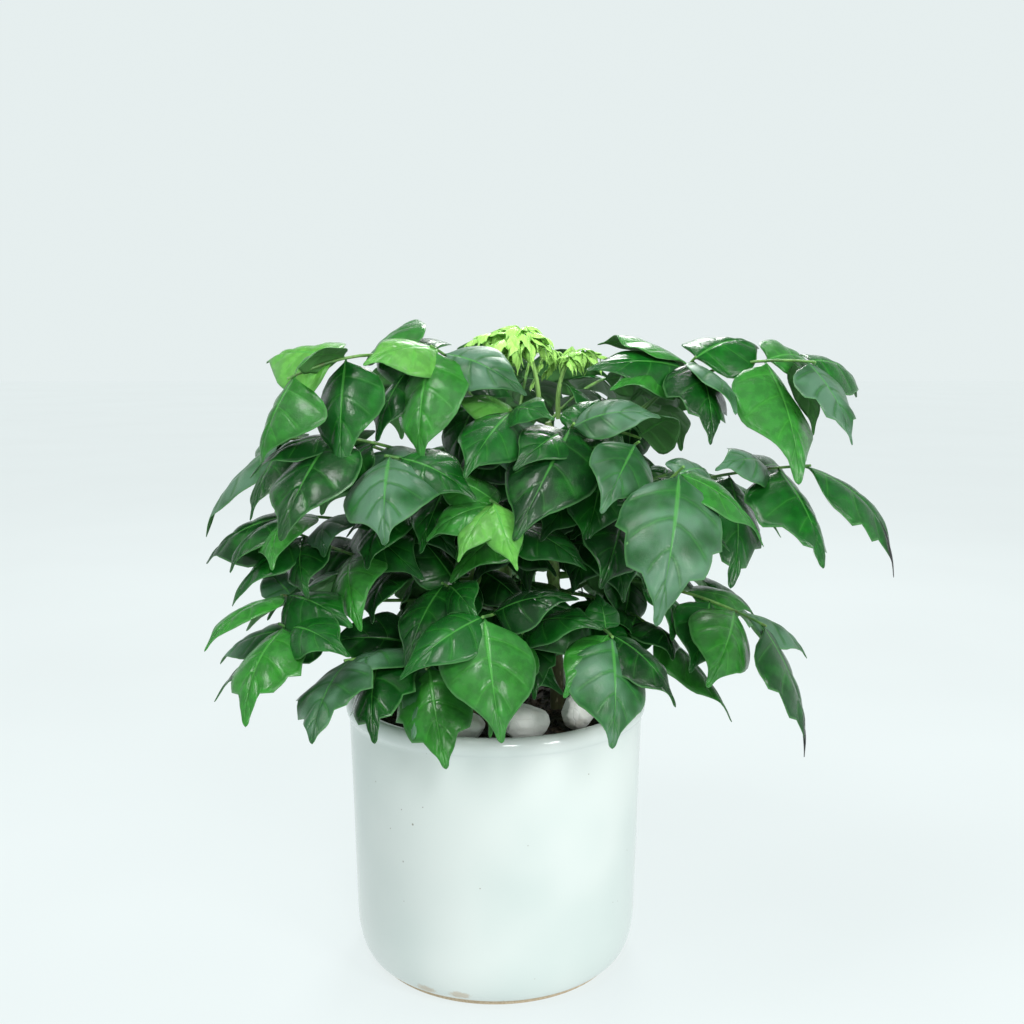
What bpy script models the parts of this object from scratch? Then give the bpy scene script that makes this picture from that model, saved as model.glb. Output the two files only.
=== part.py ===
"""China doll plant in a glazed vase: pot, soil, pebbles, stems, compound leaves and young shoots.

The origin is the centre of the pot's flat base, on the surface it stands on. +Z is up and -Y is the front.
Layout tables are in millimetres and degrees. Headings turn from +X (0) to +Y (90), which is the back.
"""

import math

import bmesh
import bpy
from mathutils import Vector

MM = 0.001
GAP = 0.4  # between pieces that touch
WELD = 0.01  # points nearer than this become one

# Pot
POT_HEIGHT = 125.0
LIP_RADIUS = 70.0
LIP_INNER_RADIUS = 62.5
LIP_RISE = 4.4
LIP_STEPS = 8
LIP_LAST_ANGLE = -50.0  # where the lip's round meets the outer wall
WALL_TOP_RADIUS = 68.4
WALL_LOW_RADIUS = 66.4
WALL_TOP_HEIGHT = 113.0
FOOT_RADIUS = 58.7
FOOT_HEIGHT = 2.5
FOOT_STEP = 0.7  # from the bare foot out to the glaze
CORNER_HEIGHT = 24.0
CORNER_STEPS = 5
FLOOR_THICKNESS = 8.0
INNER_LOW_RADIUS = 60.5
INNER_TOP_RADIUS = 61.8
INNER_TOP_HEIGHT = 100.0
INNER_CORNER_WIDTH = 8.0
INNER_CORNER_HEIGHT = 10.0
INNER_CORNER_STEPS = 4
LATHE_STEPS = 36

# Soil
SOIL_TOP = 113.0
SOIL_CROWN = 2.0
SOIL_CROWN_SHOULDER = 0.75  # share of the crown left halfway out
SOIL_SHOULDER_WIDTH = 6.0
SOIL_EDGE_DROP = 2.0
SOIL_EDGE_RADIUS = 61.4
SOIL_SIDE_RADIUS = 61.0
SOIL_UNDERSIDE_CORNER = (12.0, 14.0)  # in from the pot's inner wall, up from its floor
STEM_HOLE_SIDES = 12
STEM_HOLE_OVERSHOOT = 10.0  # above the soil

# Pebbles: centre on the soil (x, y), half sizes (x, y, z), heading of the long side
PEBBLES = (
    (12, -41, 12.0, 9.5, 8.0, 10),
    (37, -27, 9.5, 8.0, 8.0, 60),
    (-14, -42, 10.0, 8.5, 6.5, 150),
    (47, 4, 9.0, 7.5, 6.0, 95),
    (33, 35, 10.5, 8.0, 6.5, 40),
    (-22, 32, 10.0, 8.5, 6.5, 160),
    (-45, 8, 9.5, 8.0, 6.0, 80),
    (-36, -22, 9.0, 7.5, 5.5, 120),
)

# Stems: (x, y) at the foot, at the bend and at the top, height of the top
STEM_FOOT = 95.0
STEM_FOOT_RADIUS = 3.6
STEM_TOP_RADIUS = 2.0
STEM_HOLE_CLEARANCE = 2.0
STEM_STEPS = 8
STEM_BEVEL = 2  # more is rounder
STEMS = {
    "stem_left": ((-12, 2), (-12, -4), (-4, -12), 240),
    "stem_right": ((30, 4), (28, 8), (24, -2), 252),
    "stem_back": ((6, 28), (2, 24), (8, 24), 242),
}

# Leaves and shoots
STALK_RADIUS = 0.9
STALK_POINTS = 5
STALK_TAPER = 0.35  # share of the radius lost by the end
STALK_BEVEL = 1  # more is rounder
STALK_START = 1.3  # clear of the stem's skin
BLADE_THICKNESS = 0.8
BLADE_ARCH = 0.07  # rise of the blade's middle over its length
BLADE_FOLD = 0.12  # fall of each edge over the width
BLADE_TURN = 12.0  # most that a blade leans about its own line
BLADE_TURN_RATE = 2.4  # how fast the lean changes with a leaflet's order and length
BLADE_HALF_WIDTHS = (0.0, 0.50, 0.42, 0.0)

# Each leaf: stem, height on it, point that the stalk arches towards, end of the stalk, leaflets.
# Each leaflet: share of the stalk at its root, heading, dip below level, length, width.
LEAVES = {
    "leaf_top_left_outer": ("stem_left", 236, (-23, -27, 304), (-78, -58, 275), (
        (0.86, 150, 15, 44, 22), (0.82, 235, 5, 32, 16), (0.84, 275, 55, 52, 25), (0.97, 240, 40, 44, 27),
        (0.72, 60, -15, 34, 18), (0.50, 240, 45, 42, 22), (0.45, 100, 10, 42, 22))),
    "leaf_top_left_inner": ("stem_left", 230, (2, -24, 270), (-27, -42, 287), (
        (0.97, 257, 54, 54, 28), (0.93, 215, 8, 35, 18), (0.90, 330, 20, 42, 19), (0.75, 20, 25, 28, 15),
        (0.93, 130, 10, 50, 24), (0.50, 245, 45, 42, 23), (0.45, 350, 35, 34, 22))),
    "leaf_upper_left_far": ("stem_left", 212, (-46, -7, 251), (-94, -26, 246), (
        (0.97, 175, 45, 58, 26), (0.95, 250, 42, 45, 21), (0.60, 250, -5, 37, 20), (0.70, 110, 20, 44, 24),
        (0.93, 125, 15, 40, 22), (0.40, 235, 20, 40, 22))),
    "leaf_upper_left_middle": ("stem_left", 222, (-28, -41, 244), (-68, -55, 251), (
        (0.97, 250, 40, 56, 33), (0.75, 205, 38, 46, 23), (0.75, 150, 25, 34, 19), (0.45, 240, 30, 42, 23),
        (0.95, 190, 20, 40, 21))),
    "leaf_upper_left_near": ("stem_left", 216, (-11, -47, 235), (-44, -70, 244), (
        (0.97, 270, 36, 48, 33), (0.80, 135, 5, 37, 22), (0.92, 335, 20, 37, 22), (0.50, 250, 40, 42, 23))),
    "leaf_top_centre_left": ("stem_left", 225, (20, -31, 244), (6, -52, 261), (
        (0.97, 240, 30, 45, 24), (0.90, 160, -15, 30, 16), (0.95, 285, 65, 32, 21), (0.97, 300, 0, 30, 15),
        (0.80, 165, 33, 36, 22), (0.50, 200, 30, 30, 22))),
    "leaf_top_centre_front": ("stem_right", 230, (22, -35, 236), (32, -60, 256), (
        (0.97, 240, 45, 59, 32), (0.93, 355, -13, 37, 19), (0.88, 45, -30, 26, 15), (0.90, 230, 20, 35, 21),
        (0.50, 295, 40, 35, 21))),
    "leaf_top_centre_right": ("stem_right", 240, (42, -15, 255), (63, -30, 247), (
        (0.75, 215, -4, 32, 17), (0.70, 145, -40, 32, 18), (0.60, 100, -15, 30, 20), (0.97, 298, -22, 32, 20),
        (0.50, 290, 25, 38, 21))),
    "leaf_centre_bright": ("stem_left", 200, (19, -46, 210), (-2, -78, 227), (
        (0.97, 287, 45, 32, 17), (0.95, 240, 42, 30, 18), (0.92, 188, 20, 32, 17), (0.88, 150, -18, 36, 19),
        (0.50, 225, 30, 40, 23), (0.50, 330, 25, 38, 21))),
    "leaf_left_inner": ("stem_left", 188, (-52, -10, 211), (-90, -40, 215), (
        (0.97, 168, 18, 44, 24), (0.95, 235, 20, 40, 20), (0.93, 265, 15, 48, 23), (0.75, 272, 12, 40, 21),
        (0.60, 300, 18, 56, 27), (0.50, 100, 0, 40, 22), (0.40, 255, 15, 34, 22))),
    "leaf_left_tall": ("stem_left", 180, (-43, -35, 188), (-83, -45, 208), (
        (0.97, 275, 32, 36, 20), (0.97, 212, 35, 40, 19), (0.72, 280, 22, 50, 25), (0.70, 140, 10, 40, 22),
        (0.45, 255, 20, 42, 23), (0.40, 120, 5, 40, 21))),
    "leaf_left_light": ("stem_left", 172, (-51, -31, 174), (-89, -60, 185), (
        (0.97, 224, 20, 42, 21), (0.95, 130, -20, 22, 15), (0.90, 60, -5, 38, 19), (0.97, 317, 10, 40, 22),
        (0.55, 235, 15, 34, 22), (0.50, 100, 0, 38, 20))),
    "leaf_left_low": ("stem_left", 162, (-47, -50, 144), (-88, -72, 176), (
        (0.93, 162, 20, 38, 20), (0.95, 312, 0, 45, 20), (0.97, 250, 33, 48, 27), (0.78, 215, 20, 38, 20),
        (0.88, 187, 30, 45, 21), (0.55, 235, 20, 37, 22))),
    "leaf_low_left_front": ("stem_left", 156, (-22, -52, 161), (-61, -78, 162), (
        (0.97, 250, 28, 44, 25), (0.65, 240, 10, 42, 20), (0.80, 273, 24, 50, 23), (0.55, 185, -5, 38, 21))),
    "leaf_low_front_left": ("stem_left", 150, (-10, -44, 167), (-28, -80, 159), (
        (0.97, 285, 45, 44, 28), (0.93, 254, 45, 34, 18), (0.75, 150, 22, 36, 19), (0.50, 215, 25, 38, 21))),
    "leaf_low_front": ("stem_left", 168, (7, -49, 175), (-5, -95, 184), (
        (0.97, 276, 53, 50, 32), (0.95, 208, 28, 42, 21), (0.80, 342, -16, 36, 20), (0.45, 250, 15, 38, 21),
        (0.50, 10, 5, 38, 21))),
    "leaf_centre_left_inner": ("stem_left", 194, (-3, -40, 174), (-22, -65, 191), (
        (0.97, 243, 37, 42, 21), (0.93, 296, 9, 32, 16), (0.80, 150, -42, 42, 21), (0.50, 225, 25, 40, 22))),
    "leaf_low_right_inner": ("stem_right", 156, (23, -29, 168), (11, -62, 169), (
        (0.97, 312, -15, 45, 21), (0.97, 232, 50, 46, 21), (0.80, 275, 43, 34, 17))),
    "leaf_low_right_front": ("stem_right", 166, (42, -41, 171), (46, -88, 174), (
        (0.97, 267, 45, 48, 28), (0.93, 227, 37, 34, 19), (0.95, 330, 35, 38, 22), (0.85, 97, -45, 18, 13),
        (0.55, 215, 15, 36, 20))),
    "leaf_low_right_behind": ("stem_right", 172, (53, -11, 173), (70, -32, 163), (
        (0.90, 290, 14, 31, 21), (0.97, 337, 47, 54, 23), (0.80, 245, 22, 32, 20), (0.60, 226, -50, 32, 18),
        (0.45, 290, 20, 38, 21))),
    "leaf_low_right_outer": ("stem_right", 180, (79, -16, 184), (115, -52, 169), (
        (0.72, 248, 36, 40, 24), (0.84, 246, 23, 52, 27), (0.97, 330, 68, 58, 27), (0.87, 21, 30, 42, 21),
        (0.60, 12, 18, 34, 18), (0.45, 280, 25, 38, 21), (0.40, 105, 15, 38, 20))),
    "leaf_right_near": ("stem_right", 190, (51, -48, 209), (72, -92, 242), (
        (0.97, 254, 51, 64, 34), (0.95, 7, 34, 46, 21), (0.93, 56, 6, 36, 17), (0.55, 250, 27, 42, 24),
        (0.35, 290, 30, 40, 23), (0.70, 340, 20, 40, 22))),
    "leaf_right_outer": ("stem_right", 202, (80, -16, 231), (133, -46, 237), (
        (0.70, 267, 46, 58, 28), (0.88, 287, 42, 54, 34), (0.97, 350, 48, 60, 26), (0.84, 227, -8, 42, 19),
        (0.80, 60, 10, 42, 21), (0.45, 270, 35, 42, 24), (0.45, 50, 15, 40, 22))),
    "leaf_right_inner": ("stem_right", 212, (35, -38, 227), (58, -65, 249), (
        (0.97, 243, 28, 45, 23), (0.70, 252, 48, 38, 22), (0.93, 150, 10, 38, 20), (0.45, 240, 30, 38, 21),
        (0.60, 330, 20, 38, 21))),
    "leaf_top_right_inner": ("stem_right", 222, (68, 2, 255), (86, -30, 282), (
        (0.97, 279, 41, 46, 26), (0.95, 296, 28, 42, 19), (0.90, 200, 4, 46, 22), (0.93, 148, -7, 45, 22),
        (0.97, 40, -8, 44, 21), (0.80, 227, 0, 42, 20), (0.50, 250, -5, 42, 22), (0.45, 160, 15, 38, 21))),
    "leaf_top_right_outer": ("stem_right", 214, (76, 11, 287), (135, -40, 280), (
        (0.84, 276, 46, 64, 33), (0.97, 299, 47, 43, 25), (0.93, 20, 65, 35, 17), (0.84, 50, -5, 46, 22),
        (0.97, 44, 16, 48, 23), (0.50, 290, 15, 44, 23), (0.50, 110, 5, 42, 22), (0.35, 185, 10, 30, 21))),
    "leaf_inner_left": ("stem_left", 206, (-26, -20, 228), (-42, -32, 218), (
        (0.97, 250, 30, 44, 26), (0.93, 185, 25, 29, 24), (0.90, 310, 30, 40, 22), (0.60, 150, 15, 38, 20))),
    "leaf_inner_right": ("stem_right", 206, (44, -8, 226), (60, -20, 214), (
        (0.97, 280, 45, 46, 26), (0.93, 335, 30, 42, 23), (0.90, 230, 10, 42, 24), (0.60, 40, 0, 32, 20),
        (0.50, 315, 30, 38, 21))),
    "leaf_inner_back_left": ("stem_back", 196, (-28, 22, 214), (-48, 14, 202), (
        (0.97, 190, 30, 43, 25), (0.93, 245, 25, 41, 24), (0.90, 130, 25, 40, 22))),
    "leaf_inner_back_right": ("stem_back", 192, (40, 32, 214), (60, 24, 200), (
        (0.97, 350, 30, 46, 25), (0.93, 300, 30, 44, 24), (0.90, 60, 25, 40, 22))),
    "leaf_inner_low": ("stem_left", 146, (2, -24, 164), (0, -46, 156), (
        (0.97, 270, 35, 36, 21), (0.93, 215, 25, 38, 21), (0.90, 325, 25, 36, 20))),
    "leaf_inner_centre": ("stem_back", 205, (10, 10, 228), (12, -8, 216), (
        (0.97, 270, 55, 44, 26), (0.93, 245, 10, 42, 24), (0.93, 315, 35, 42, 24), (0.60, 180, 20, 38, 21))),
    "leaf_inner_centre_low": ("stem_back", 170, (12, 10, 186), (12, -8, 178), (
        (0.97, 260, 40, 40, 24), (0.93, 215, 35, 30, 23), (0.93, 325, 30, 28, 22))),
    "leaf_back_top_left": ("stem_back", 232, (-16, 50, 288), (-52, 78, 268), (
        (0.97, 150, 35, 50, 27), (0.93, 95, 42, 50, 27), (0.95, 200, 20, 42, 21), (0.65, 75, 15, 42, 22),
        (0.65, 175, 10, 42, 21), (0.40, 240, 10, 38, 20), (0.40, 60, 20, 40, 21))),
    "leaf_back_top": ("stem_back", 238, (18, 52, 292), (20, 88, 274), (
        (0.97, 90, 45, 54, 29), (0.93, 35, 28, 44, 23), (0.93, 145, 28, 44, 23), (0.60, 5, 8, 42, 22),
        (0.60, 165, -14, 38, 21), (0.40, 60, 30, 40, 22), (0.40, 210, 0, 36, 19))),
    "leaf_back_top_right": ("stem_back", 228, (48, 48, 284), (78, 66, 266), (
        (0.97, 45, 42, 52, 28), (0.93, 0, 25, 44, 23), (0.93, 95, 35, 46, 24), (0.60, 100, 12, 42, 22),
        (0.60, 340, 5, 38, 20), (0.40, 80, 25, 40, 21), (0.40, 300, 10, 38, 20))),
    "leaf_back_upper_left": ("stem_back", 208, (-36, 42, 240), (-78, 54, 226), (
        (0.97, 172, 35, 48, 26), (0.93, 120, 38, 48, 26), (0.93, 220, 22, 40, 21), (0.60, 105, 15, 42, 22),
        (0.55, 205, 8, 38, 20), (0.40, 90, 25, 40, 22), (0.35, 230, 20, 38, 20))),
    "leaf_back_upper": ("stem_back", 212, (-2, 66, 246), (-12, 92, 226), (
        (0.97, 105, 45, 50, 28), (0.93, 55, 28, 42, 22), (0.93, 155, 28, 42, 22), (0.55, 20, 13, 35, 20),
        (0.50, 170, 10, 38, 21), (0.35, 60, 25, 38, 21))),
    "leaf_back_upper_right": ("stem_back", 216, (48, 56, 242), (62, 80, 224), (
        (0.97, 62, 42, 50, 28), (0.93, 10, 26, 44, 23), (0.93, 115, 30, 42, 22), (0.60, 335, 5, 38, 20),
        (0.55, 120, 10, 40, 21), (0.35, 320, 20, 38, 20))),
    "leaf_side_right_upper": ("stem_right", 194, (78, 22, 236), (108, 34, 222), (
        (0.97, 20, 40, 50, 27), (0.93, 330, 30, 44, 23), (0.93, 75, 30, 46, 24), (0.60, 85, 10, 42, 22),
        (0.60, 330, 10, 37, 21), (0.40, 60, 25, 38, 20))),
    "leaf_back_low_left": ("stem_back", 176, (-38, 48, 186), (-72, 56, 172), (
        (0.97, 165, 30, 46, 25), (0.93, 110, 40, 46, 25), (0.93, 215, 18, 40, 21), (0.55, 90, 20, 40, 21),
        (0.50, 210, 12, 35, 20), (0.35, 80, 25, 36, 20))),
    "leaf_back_low": ("stem_back", 168, (4, 62, 182), (-2, 88, 170), (
        (0.97, 95, 48, 48, 28), (0.93, 45, 28, 42, 22), (0.93, 150, 28, 42, 22), (0.55, 160, 10, 36, 19),
        (0.50, 30, 12, 38, 20), (0.35, 180, 25, 36, 19))),
    "leaf_back_low_right": ("stem_back", 182, (48, 56, 192), (70, 72, 174), (
        (0.97, 50, 40, 48, 27), (0.93, 0, 26, 42, 22), (0.93, 105, 36, 44, 24), (0.55, 110, 10, 38, 20),
        (0.50, 330, 5, 38, 20), (0.35, 90, 25, 36, 20))),
    "leaf_side_right_low": ("stem_right", 170, (74, 16, 190), (100, 18, 174), (
        (0.97, 10, 42, 46, 25), (0.93, 60, 28, 42, 22), (0.93, 320, 25, 38, 20), (0.60, 100, 10, 38, 20),
        (0.60, 300, 15, 36, 19))),
    "leaf_side_left_low": ("stem_left", 176, (-52, 14, 190), (-84, 10, 178), (
        (0.97, 175, 35, 46, 25), (0.93, 130, 25, 42, 22), (0.93, 225, 22, 38, 20), (0.60, 100, 10, 40, 21),
        (0.60, 240, 15, 35, 20))),
}

# Young shoots: foot, point that the stalk arches towards, top, folded leaflets in a ring round the top
SHOOT_STALK_RADIUS = 1.0
SHOOTS = {
    "young_shoot_left": ((20, -4, 255), (20, -7, 275), (12, -6, 291), 9, 24, 0),
    "young_shoot_right": ((29, 2, 253), (27, 3, 272), (36, 4, 283), 6, 19, 30),
}
SHOOT_DIPS = (35, 62, 15)
SHOOT_BLADE_WIDTH = 6.5
SHOOT_BLADE_ROOT = 0.95
SHOOT_ROOT_STEP = 0.05  # every other leaflet starts this much lower on the stalk
SHOOT_LENGTH_STEP = 3.0  # and is this much shorter


def millimetres(*values):
    """The vector of these millimetres, in metres."""
    return Vector(values) * MM


def along(start, arch, end, share):
    """The point at a share of the arch from start to end that leans towards the point arch."""
    rest = 1 - share
    return start * (rest * rest) + arch * (2 * rest * share) + end * (share * share)


def on_tube(points, share):
    """The point at a share of the straight runs between a tube's points."""
    place = share * (len(points) - 1)
    run = min(int(place), len(points) - 2)
    return points[run].lerp(points[run + 1], place - run)


def heading_vector(heading, dip):
    """The unit direction of a compass heading and a dip below level, in degrees."""
    turn, fall = math.radians(heading), math.radians(dip)
    return Vector((math.cos(turn) * math.cos(fall), math.sin(turn) * math.cos(fall), -math.sin(fall)))


def finish(name, colour, roughness):
    """A plain material."""
    made = bpy.data.materials.new(name)
    made.use_nodes = True
    shader = made.node_tree.nodes["Principled BSDF"]
    shader.inputs["Base Color"].default_value = (*colour, 1)
    shader.inputs["Roughness"].default_value = roughness
    shader.inputs["Metallic"].default_value = 0
    return made


def add_object(name, data, collection, material=None):
    """A new object of this mesh or curve in the collection."""
    obj = bpy.data.objects.new(name, data)
    collection.objects.link(obj)
    if material:
        data.materials.append(material)
    return obj


def as_helper(obj):
    """Hides an object that only shapes others."""
    obj.hide_render = True
    obj.display_type = "WIRE"
    return obj


def bmesh_object(name, shape, collection, material=None):
    """An object made of a bmesh, which is freed."""
    mesh = bpy.data.meshes.new(name)
    shape.to_mesh(mesh)
    shape.free()
    mesh.shade_smooth()
    return add_object(name, mesh, collection, material)


def turned(name, profile, collection, material):
    """A solid turned about Z from (radius, height) points in millimetres, axis to axis."""
    shape = bmesh.new()
    points = [shape.verts.new(millimetres(radius, 0, height)) for radius, height in profile]
    for first, second in zip(points, points[1:]):
        shape.edges.new((first, second))
    obj = bmesh_object(name, shape, collection, material)
    screw = obj.modifiers.new("turn", "SCREW")
    screw.steps = screw.render_steps = LATHE_STEPS
    screw.use_merge_vertices = True
    screw.merge_threshold = WELD * MM
    screw.use_smooth_shade = True
    return obj


def oval_arc(centre, half_width, half_height, first, last, steps):
    """Points (radius, height) on an oval, from one angle to another in degrees."""
    angles = [math.radians(first + (last - first) * step / steps) for step in range(steps + 1)]
    return [
        (centre[0] + half_width * math.cos(angle), centre[1] + half_height * math.sin(angle))
        for angle in angles
    ]


def pot_profile():
    """The pot's section: up the inside, over the lip, down the outside and in along the base."""
    lip_middle = (LIP_RADIUS + LIP_INNER_RADIUS) / 2
    lip_half = (LIP_RADIUS - LIP_INNER_RADIUS) / 2
    inner_middle = (INNER_LOW_RADIUS - INNER_CORNER_WIDTH, FLOOR_THICKNESS + INNER_CORNER_HEIGHT)
    inner_corner = oval_arc(inner_middle, INNER_CORNER_WIDTH, INNER_CORNER_HEIGHT, -90, 0, INNER_CORNER_STEPS)
    lip = oval_arc((lip_middle, POT_HEIGHT - LIP_RISE), lip_half, LIP_RISE, 180, LIP_LAST_ANGLE, LIP_STEPS)
    corner_middle = (FOOT_RADIUS + FOOT_STEP, CORNER_HEIGHT)
    corner_width = WALL_LOW_RADIUS - FOOT_RADIUS - FOOT_STEP
    corner = oval_arc(corner_middle, corner_width, CORNER_HEIGHT - FOOT_HEIGHT, 0, -90, CORNER_STEPS)
    return [
        (0, FLOOR_THICKNESS), *inner_corner, (INNER_TOP_RADIUS, INNER_TOP_HEIGHT), *lip,
        (WALL_TOP_RADIUS, WALL_TOP_HEIGHT), *corner, (FOOT_RADIUS, 0), (0, 0),
    ]


def soil_profile():
    """The soil's section: crown, edge, side and underside, a gap inside the pot."""
    corner_in, corner_up = SOIL_UNDERSIDE_CORNER
    return [
        (0, SOIL_TOP + SOIL_CROWN), (SOIL_EDGE_RADIUS / 2, SOIL_TOP + SOIL_CROWN * SOIL_CROWN_SHOULDER),
        (SOIL_EDGE_RADIUS - SOIL_SHOULDER_WIDTH, SOIL_TOP), (SOIL_EDGE_RADIUS, SOIL_TOP - SOIL_EDGE_DROP),
        (SOIL_SIDE_RADIUS, INNER_TOP_HEIGHT), (INNER_LOW_RADIUS - GAP, FLOOR_THICKNESS + corner_up),
        (INNER_LOW_RADIUS - corner_in, FLOOR_THICKNESS + GAP), (0, FLOOR_THICKNESS + GAP),
    ]


def tube(name, points, radii, bevel, collection, material):
    """A mesh tube with closed ends along points in metres."""
    curve = bpy.data.curves.new(name, "CURVE")
    curve.dimensions = "3D"
    curve.bevel_depth = 1.0
    curve.bevel_resolution = bevel
    curve.use_fill_caps = True
    spline = curve.splines.new("POLY")
    spline.points.add(len(points) - 1)
    for control, point, radius in zip(spline.points, points, radii):
        control.co = (*point, 1)
        control.radius = radius * MM
    guide = add_object(name + "_route", curve, collection)
    bpy.context.view_layer.update()
    mesh = bpy.data.meshes.new_from_object(guide.evaluated_get(bpy.context.evaluated_depsgraph_get()))
    bpy.data.objects.remove(guide)
    bpy.data.curves.remove(curve)
    shape = bmesh.new()
    shape.from_mesh(mesh)
    bpy.data.meshes.remove(mesh)
    bmesh.ops.remove_doubles(shape, verts=shape.verts, dist=WELD * MM)
    bmesh.ops.recalc_face_normals(shape, faces=shape.faces)
    return bmesh_object(name, shape, collection, material)


def stem_point(stem, height):
    """The middle of a stem at a height, in metres."""
    foot, bend, top, top_height = STEMS[stem]
    share = (height - STEM_FOOT) / (top_height - STEM_FOOT)
    flat = along(Vector(foot), Vector(bend), Vector(top), share)
    return millimetres(flat.x, flat.y, height)


def stem_radius(stem, height):
    """A stem's radius at a height, in millimetres."""
    share = (height - STEM_FOOT) / (STEMS[stem][3] - STEM_FOOT)
    return STEM_FOOT_RADIUS + (STEM_TOP_RADIUS - STEM_FOOT_RADIUS) * share


def build_stem(name, collection, material):
    """One upright stem, from its foot in the soil to its top."""
    rise = STEMS[name][3] - STEM_FOOT
    heights = [STEM_FOOT + rise * step / STEM_STEPS for step in range(STEM_STEPS + 1)]
    points = [stem_point(name, height) for height in heights]
    radii = [stem_radius(name, height) for height in heights]
    return tube(name, points, radii, STEM_BEVEL, collection, material)


def build_soil(collection, helpers, material):
    """The soil with a hole for each stem's foot."""
    soil = turned("soil", soil_profile(), collection, material)
    for stem in STEMS:
        middle = stem_point(stem, (STEM_FOOT + SOIL_TOP) / 2)
        hole = bmesh.new()
        radius = (STEM_FOOT_RADIUS + STEM_HOLE_CLEARANCE) * MM
        bottom = STEM_FOOT - 2 * GAP
        depth = SOIL_TOP + STEM_HOLE_OVERSHOOT - bottom
        bmesh.ops.create_cone(
            hole, cap_ends=True, segments=STEM_HOLE_SIDES, radius1=radius, radius2=radius, depth=depth * MM)
        middle.z = (bottom + depth / 2) * MM
        bmesh.ops.translate(hole, verts=hole.verts, vec=middle)
        cutter = as_helper(bmesh_object(stem + "_hole", hole, helpers))
        cut = soil.modifiers.new(stem, "BOOLEAN")
        cut.object = cutter
        cut.operation = "DIFFERENCE"
    return soil


def build_pebble(name, pebble, collection, material):
    """One rounded pebble, resting on the soil."""
    x, y, *halves, heading = pebble
    shape = bmesh.new()
    bmesh.ops.create_icosphere(shape, subdivisions=2, radius=1)
    bmesh.ops.scale(shape, verts=shape.verts, vec=millimetres(*halves))
    obj = bmesh_object(name, shape, collection, material)
    obj.location = millimetres(x, y, SOIL_TOP + SOIL_CROWN + GAP + halves[2])
    obj.rotation_euler.z = math.radians(heading)
    return obj


def add_blade(shape, root, heading, dip, length, width, lean):
    """Adds one open leaf blade, from its root to its tip, to a bmesh."""
    line = heading_vector(heading, dip)
    level_side = line.cross(Vector((0, 0, 1))).normalized()
    face = level_side.cross(line)
    turn = math.radians(lean)
    side = level_side * math.cos(turn) + face * math.sin(turn)
    face = side.cross(line)
    rows = len(BLADE_HALF_WIDTHS)
    made = bmesh.ops.create_grid(shape, x_segments=2, y_segments=rows - 1, size=0.5)["verts"]
    for vert in made:
        share = vert.co.y + 0.5
        half = BLADE_HALF_WIDTHS[round(share * (rows - 1))]
        across = vert.co.x * 2 * half * width
        lift = 4 * share * (1 - share) * BLADE_ARCH * length - abs(across) * BLADE_FOLD
        vert.co = root + (line * (share * length) + side * across + face * lift) * MM
    bmesh.ops.remove_doubles(shape, verts=made, dist=WELD * MM)


def build_compound_leaf(name, route, radius, blades, collection, helpers, material):
    """A stalk along its arch with its leaflets, as one solid."""
    steps = [step / (STALK_POINTS - 1) for step in range(STALK_POINTS)]
    points = [along(*route, step) for step in steps]
    radii = [radius * (1 - STALK_TAPER * step) for step in steps]
    leaf = tube(name, points, radii, STALK_BEVEL, collection, material)
    shape = bmesh.new()
    for order, (share, heading, dip, length, width) in enumerate(blades):
        lean = BLADE_TURN * math.sin(BLADE_TURN_RATE * (order + length))
        add_blade(shape, on_tube(points, share), heading, dip, length, width, lean)
    bmesh.ops.recalc_face_normals(shape, faces=shape.faces)
    leaflets = as_helper(bmesh_object(name + "_leaflets", shape, helpers))
    thicken = leaflets.modifiers.new("thickness", "SOLIDIFY")
    thicken.thickness = BLADE_THICKNESS * MM
    thicken.offset = 0
    join = leaf.modifiers.new("leaflets", "BOOLEAN")
    join.operation = "UNION"
    join.object = leaflets
    join.use_self = True
    return leaf


def leaf_route(stem, height, arch, end):
    """A leaf stalk's start beside its stem, the point that it arches towards and its end, in metres."""
    middle, arch, end = stem_point(stem, height), millimetres(*arch), millimetres(*end)
    outward = arch - middle
    outward.z = 0
    start = middle + outward.normalized() * (stem_radius(stem, height) + STALK_START) * MM
    return start, arch, end


def shoot_blades(count, length, first_heading):
    """The ring of narrow young leaflets at the top of a shoot."""
    blades = []
    for step in range(count):
        heading = first_heading + 360 * step / count
        dip = SHOOT_DIPS[step % len(SHOOT_DIPS)]
        odd = step % 2
        share = SHOOT_BLADE_ROOT - SHOOT_ROOT_STEP * odd
        blades.append((share, heading, dip, length - SHOOT_LENGTH_STEP * odd, SHOOT_BLADE_WIDTH))
    return blades


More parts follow.
